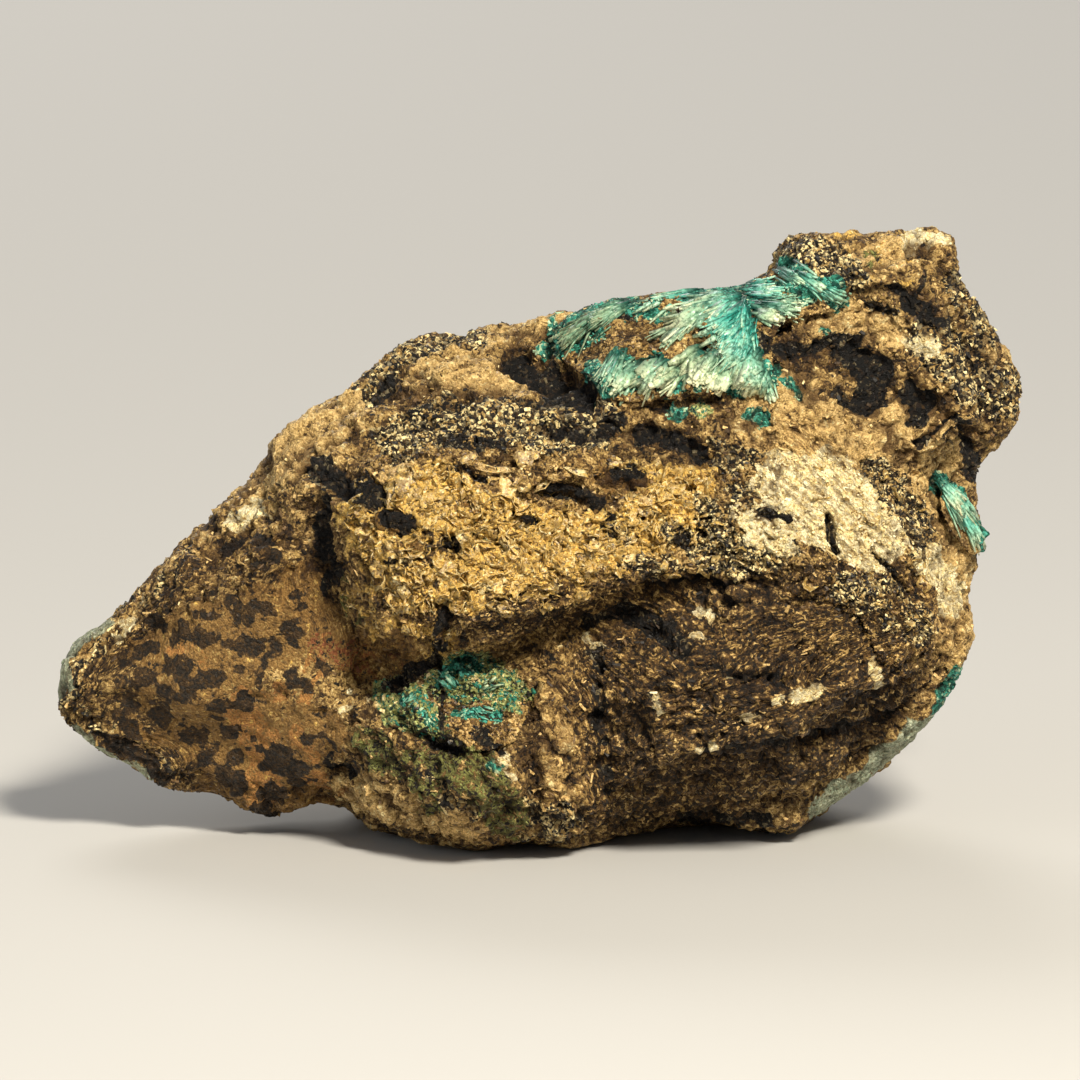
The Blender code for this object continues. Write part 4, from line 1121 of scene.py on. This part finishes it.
def blade_stations(root, run, turn, shares, lift, tree):
    """Places on the crust under a blade, raised towards the tip, or None where it leaves the crust."""
    places = []
    for share in shares:
        angle = turn * (0.6 + 0.4 * share)
        turned = np.array(((math.cos(angle), -math.sin(angle)), (math.sin(angle), math.cos(angle)))) @ run
        place, _, _, _ = tree.ray_cast(sight_start(root + turned * share), Vector(SIGHT))
        if place is None:
            return None
        places.append(np.array(place) - SIGHT * (0.1 + lift * share + 0.12 * math.sin(math.pi * share)) * MM)
    return places


def blade_mesh(name, sheaves, tree, chance, per_width, lift, width):
    """Flat pointed blades that fan out from each sheaf's root."""
    points, tints, tones, alongs = [], [], [], []
    for root, tip, half_width, paleness, tone in sheaves:
        root = np.array(root, float)
        run = np.array(tip, float) - root
        spread = math.atan2(half_width, np.linalg.norm(run) * POINT / MM)
        for _ in range(int(per_width * half_width)):
            turn = chance.normal(0, 0.5) * spread + chance.normal(0, 0.09)
            end = chance.uniform(0.35, 1.02)
            begin = chance.uniform(0.0, 0.5) * end
            rise = lift * chance.uniform(0.1, 1.0)
            tint = np.clip(chance.normal(paleness, 0.25), 0, 1)
            size = width * (0.8 + 0.7 * tint) * min(chance.lognormal(0, 0.3), 1.7) * MM
            jitter = chance.normal(0, 3.0, 2)
            roll = chance.normal(0, 0.6)
            places = blade_stations(root + jitter, run, turn, np.linspace(begin, end, 3), rise, tree)
            if places is None:
                continue
            bunch = noise(places[1][None], 1.3 * MM, 49)[0]
            if bunch < chance.uniform(-0.55, -0.15) + 0.45 * paleness:
                continue
            tint = np.clip(tint + 0.5 * bunch, 0, 1)
            heading = places[2] - places[0]
            length = np.linalg.norm(heading)
            if not BLADE_LENGTHS[0] < length < BLADE_LENGTHS[1]:
                continue
            heading /= length
            across = np.cross(heading, SIGHT)
            across /= np.linalg.norm(across)
            flat = across * math.cos(roll) + SIGHT * math.sin(roll)
            deep = np.cross(heading, flat)
            for place, share, step in zip(places, BLADE_TAPER, (begin, (begin + end) / 2, end)):
                wide, thick = flat * size * share, deep * size * 0.35 * share
                points.extend([place + wide, place + thick, place - wide, place - thick])
                tints.extend([tint] * 4)
                tones.extend([tone] * 4)
                alongs.extend([step] * 4)
    ring = [(start + side, start + (side + 1) % 4, start + 4 + (side + 1) % 4, start + 4 + side)
            for start in (0, 4) for side in range(4)]
    quads = repeat_faces(ring + [(3, 2, 1, 0), (8, 9, 10, 11)], len(points) // 12, 12)
    mesh = quad_mesh(name, np.array(points), quads)
    set_value(mesh, "tint", tints)
    set_value(mesh, "tone", tones)
    set_value(mesh, "along", alongs)
    return mesh


def surface_tree(*meshes):
    """One search tree over several meshes."""
    points, faces = [], []
    for mesh in meshes:
        offset = len(points)
        points.extend(vertex.co.copy() for vertex in mesh.vertices)
        faces.extend([index + offset for index in polygon.vertices] for polygon in mesh.polygons)
    return BVHTree.FromPolygons(points, faces)


def add_cluster(name, node, sheaves, kind, grains, ground, blades, chance):
    """A cluster of aurichalcite: its crust, its blades and the grains among them."""
    pad = dense_copy(node, PAD_SQUARE, 3)
    found, _, _ = roughen(pad, 0.3, relief=0.3)
    add_piece(name + "_crust", pad, ground, node)
    tree = surface_tree(pad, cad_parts["matrix_rock"].data)
    mesh = blade_mesh(name + "_blades", sheaves, tree, chance, *kind)
    add_piece(name + "_blades", mesh, blades)
    if grains:
        name = name + "_grains"
        outward = smooth_step(0.0, 0.5, normals_of(pad) @ -SIGHT)
        fibrous = np.zeros(len(outward))
        chips = grain_mesh(name, pad, found, outward, fibrous, grains, chance, CLUSTER_GRAIN, 0.45, 0.02)
        add_piece(name, chips, chip_material(name, 0.2), None, False)
    return tree


def add_floor():
    points = FLOOR_REACH * np.array([(-1, -1, 0), (1, -1, 0), (1, 1, 0), (-1, 1, 0)])
    floor = add_object("floor", quad_mesh("floor", points, np.array([(0, 1, 2, 3)])))
    paint = bpy.data.materials.new("floor")
    paint.use_nodes = True
    shader = paint.node_tree.nodes["Principled BSDF"]
    shader.inputs["Base Color"].default_value = (*FLOOR_COLOUR, 1)
    shader.inputs["Roughness"].default_value = 0.9
    floor.data.materials.append(paint)


def add_lights():
    world = bpy.data.worlds.new("studio")
    bpy.context.scene.world = world
    world.use_nodes = True
    sky = world.node_tree.nodes["Background"].inputs
    sky["Color"].default_value = (1.0, 1.0, 1.0, 1)
    sky["Strength"].default_value = WORLD_STRENGTH
    for name, place, size, power, colour in LAMPS:
        lamp = bpy.data.lights.new(name, "AREA")
        lamp.size = size
        lamp.energy = power
        lamp.color = colour
        light = add_object(name, lamp)
        light.location = place
        aim = Vector((0, 0, BASE_BELOW)) - Vector(place)
        light.rotation_euler = aim.to_track_quat("-Z", "Y").to_euler()


def add_camera():
    """A long lens at the photograph's angle, whose frame is the photograph's 1080 points across."""
    lens = bpy.data.cameras.new("camera")
    lens.sensor_width = SENSOR_WIDTH
    lens.lens = SENSOR_WIDTH * CAMERA_DISTANCE / (FRAME * POINT)
    camera = add_object("camera", lens)
    centre = LEAN @ Vector(((FRAME / 2 - MIDDLE[0]) * POINT, 0, (MIDDLE[1] - FRAME / 2) * POINT))
    camera.location = centre - Vector(SIGHT) * CAMERA_DISTANCE
    camera.rotation_euler = (math.pi / 2 - VIEW_TILT, 0, 0)
    bpy.context.scene.camera = camera


def main():
    chance = np.random.default_rng(RANDOM_SEED)
    add_rock(chance)
    add_crust(chance)
    ground = ground_material("aurichalcite_crust", 3.4)
    blades = blade_material()
    shared = (ground, blades, chance)
    tree = add_cluster(
        "ridge", "aurichalcite_ridge_sprays", RIDGE_SHEAVES, RIDGE_BLADES, RIDGE_GRAINS, *shared)
    laths = blade_mesh("ridge_laths", RIDGE_LATHS, tree, chance, *RIDGE_LATH_BLADES)
    add_piece("ridge_laths", laths, blades)
    add_cluster("vein", "aurichalcite_side_vein", VEIN_SHEAVES, VEIN_BLADES, 0, *shared)
    add_cluster(
        "pocket", "aurichalcite_pocket_rosette", POCKET_SHEAVES, POCKET_BLADES, POCKET_GRAINS, *shared)
    add_floor()
    add_lights()
    add_camera()
    bpy.context.scene.view_settings.view_transform = "Standard"


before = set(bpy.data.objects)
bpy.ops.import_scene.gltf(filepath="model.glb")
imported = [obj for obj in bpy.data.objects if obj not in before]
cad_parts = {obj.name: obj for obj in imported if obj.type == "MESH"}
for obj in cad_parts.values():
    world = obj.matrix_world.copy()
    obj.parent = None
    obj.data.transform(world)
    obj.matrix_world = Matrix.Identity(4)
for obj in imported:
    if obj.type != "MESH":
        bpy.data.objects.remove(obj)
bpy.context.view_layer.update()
main()
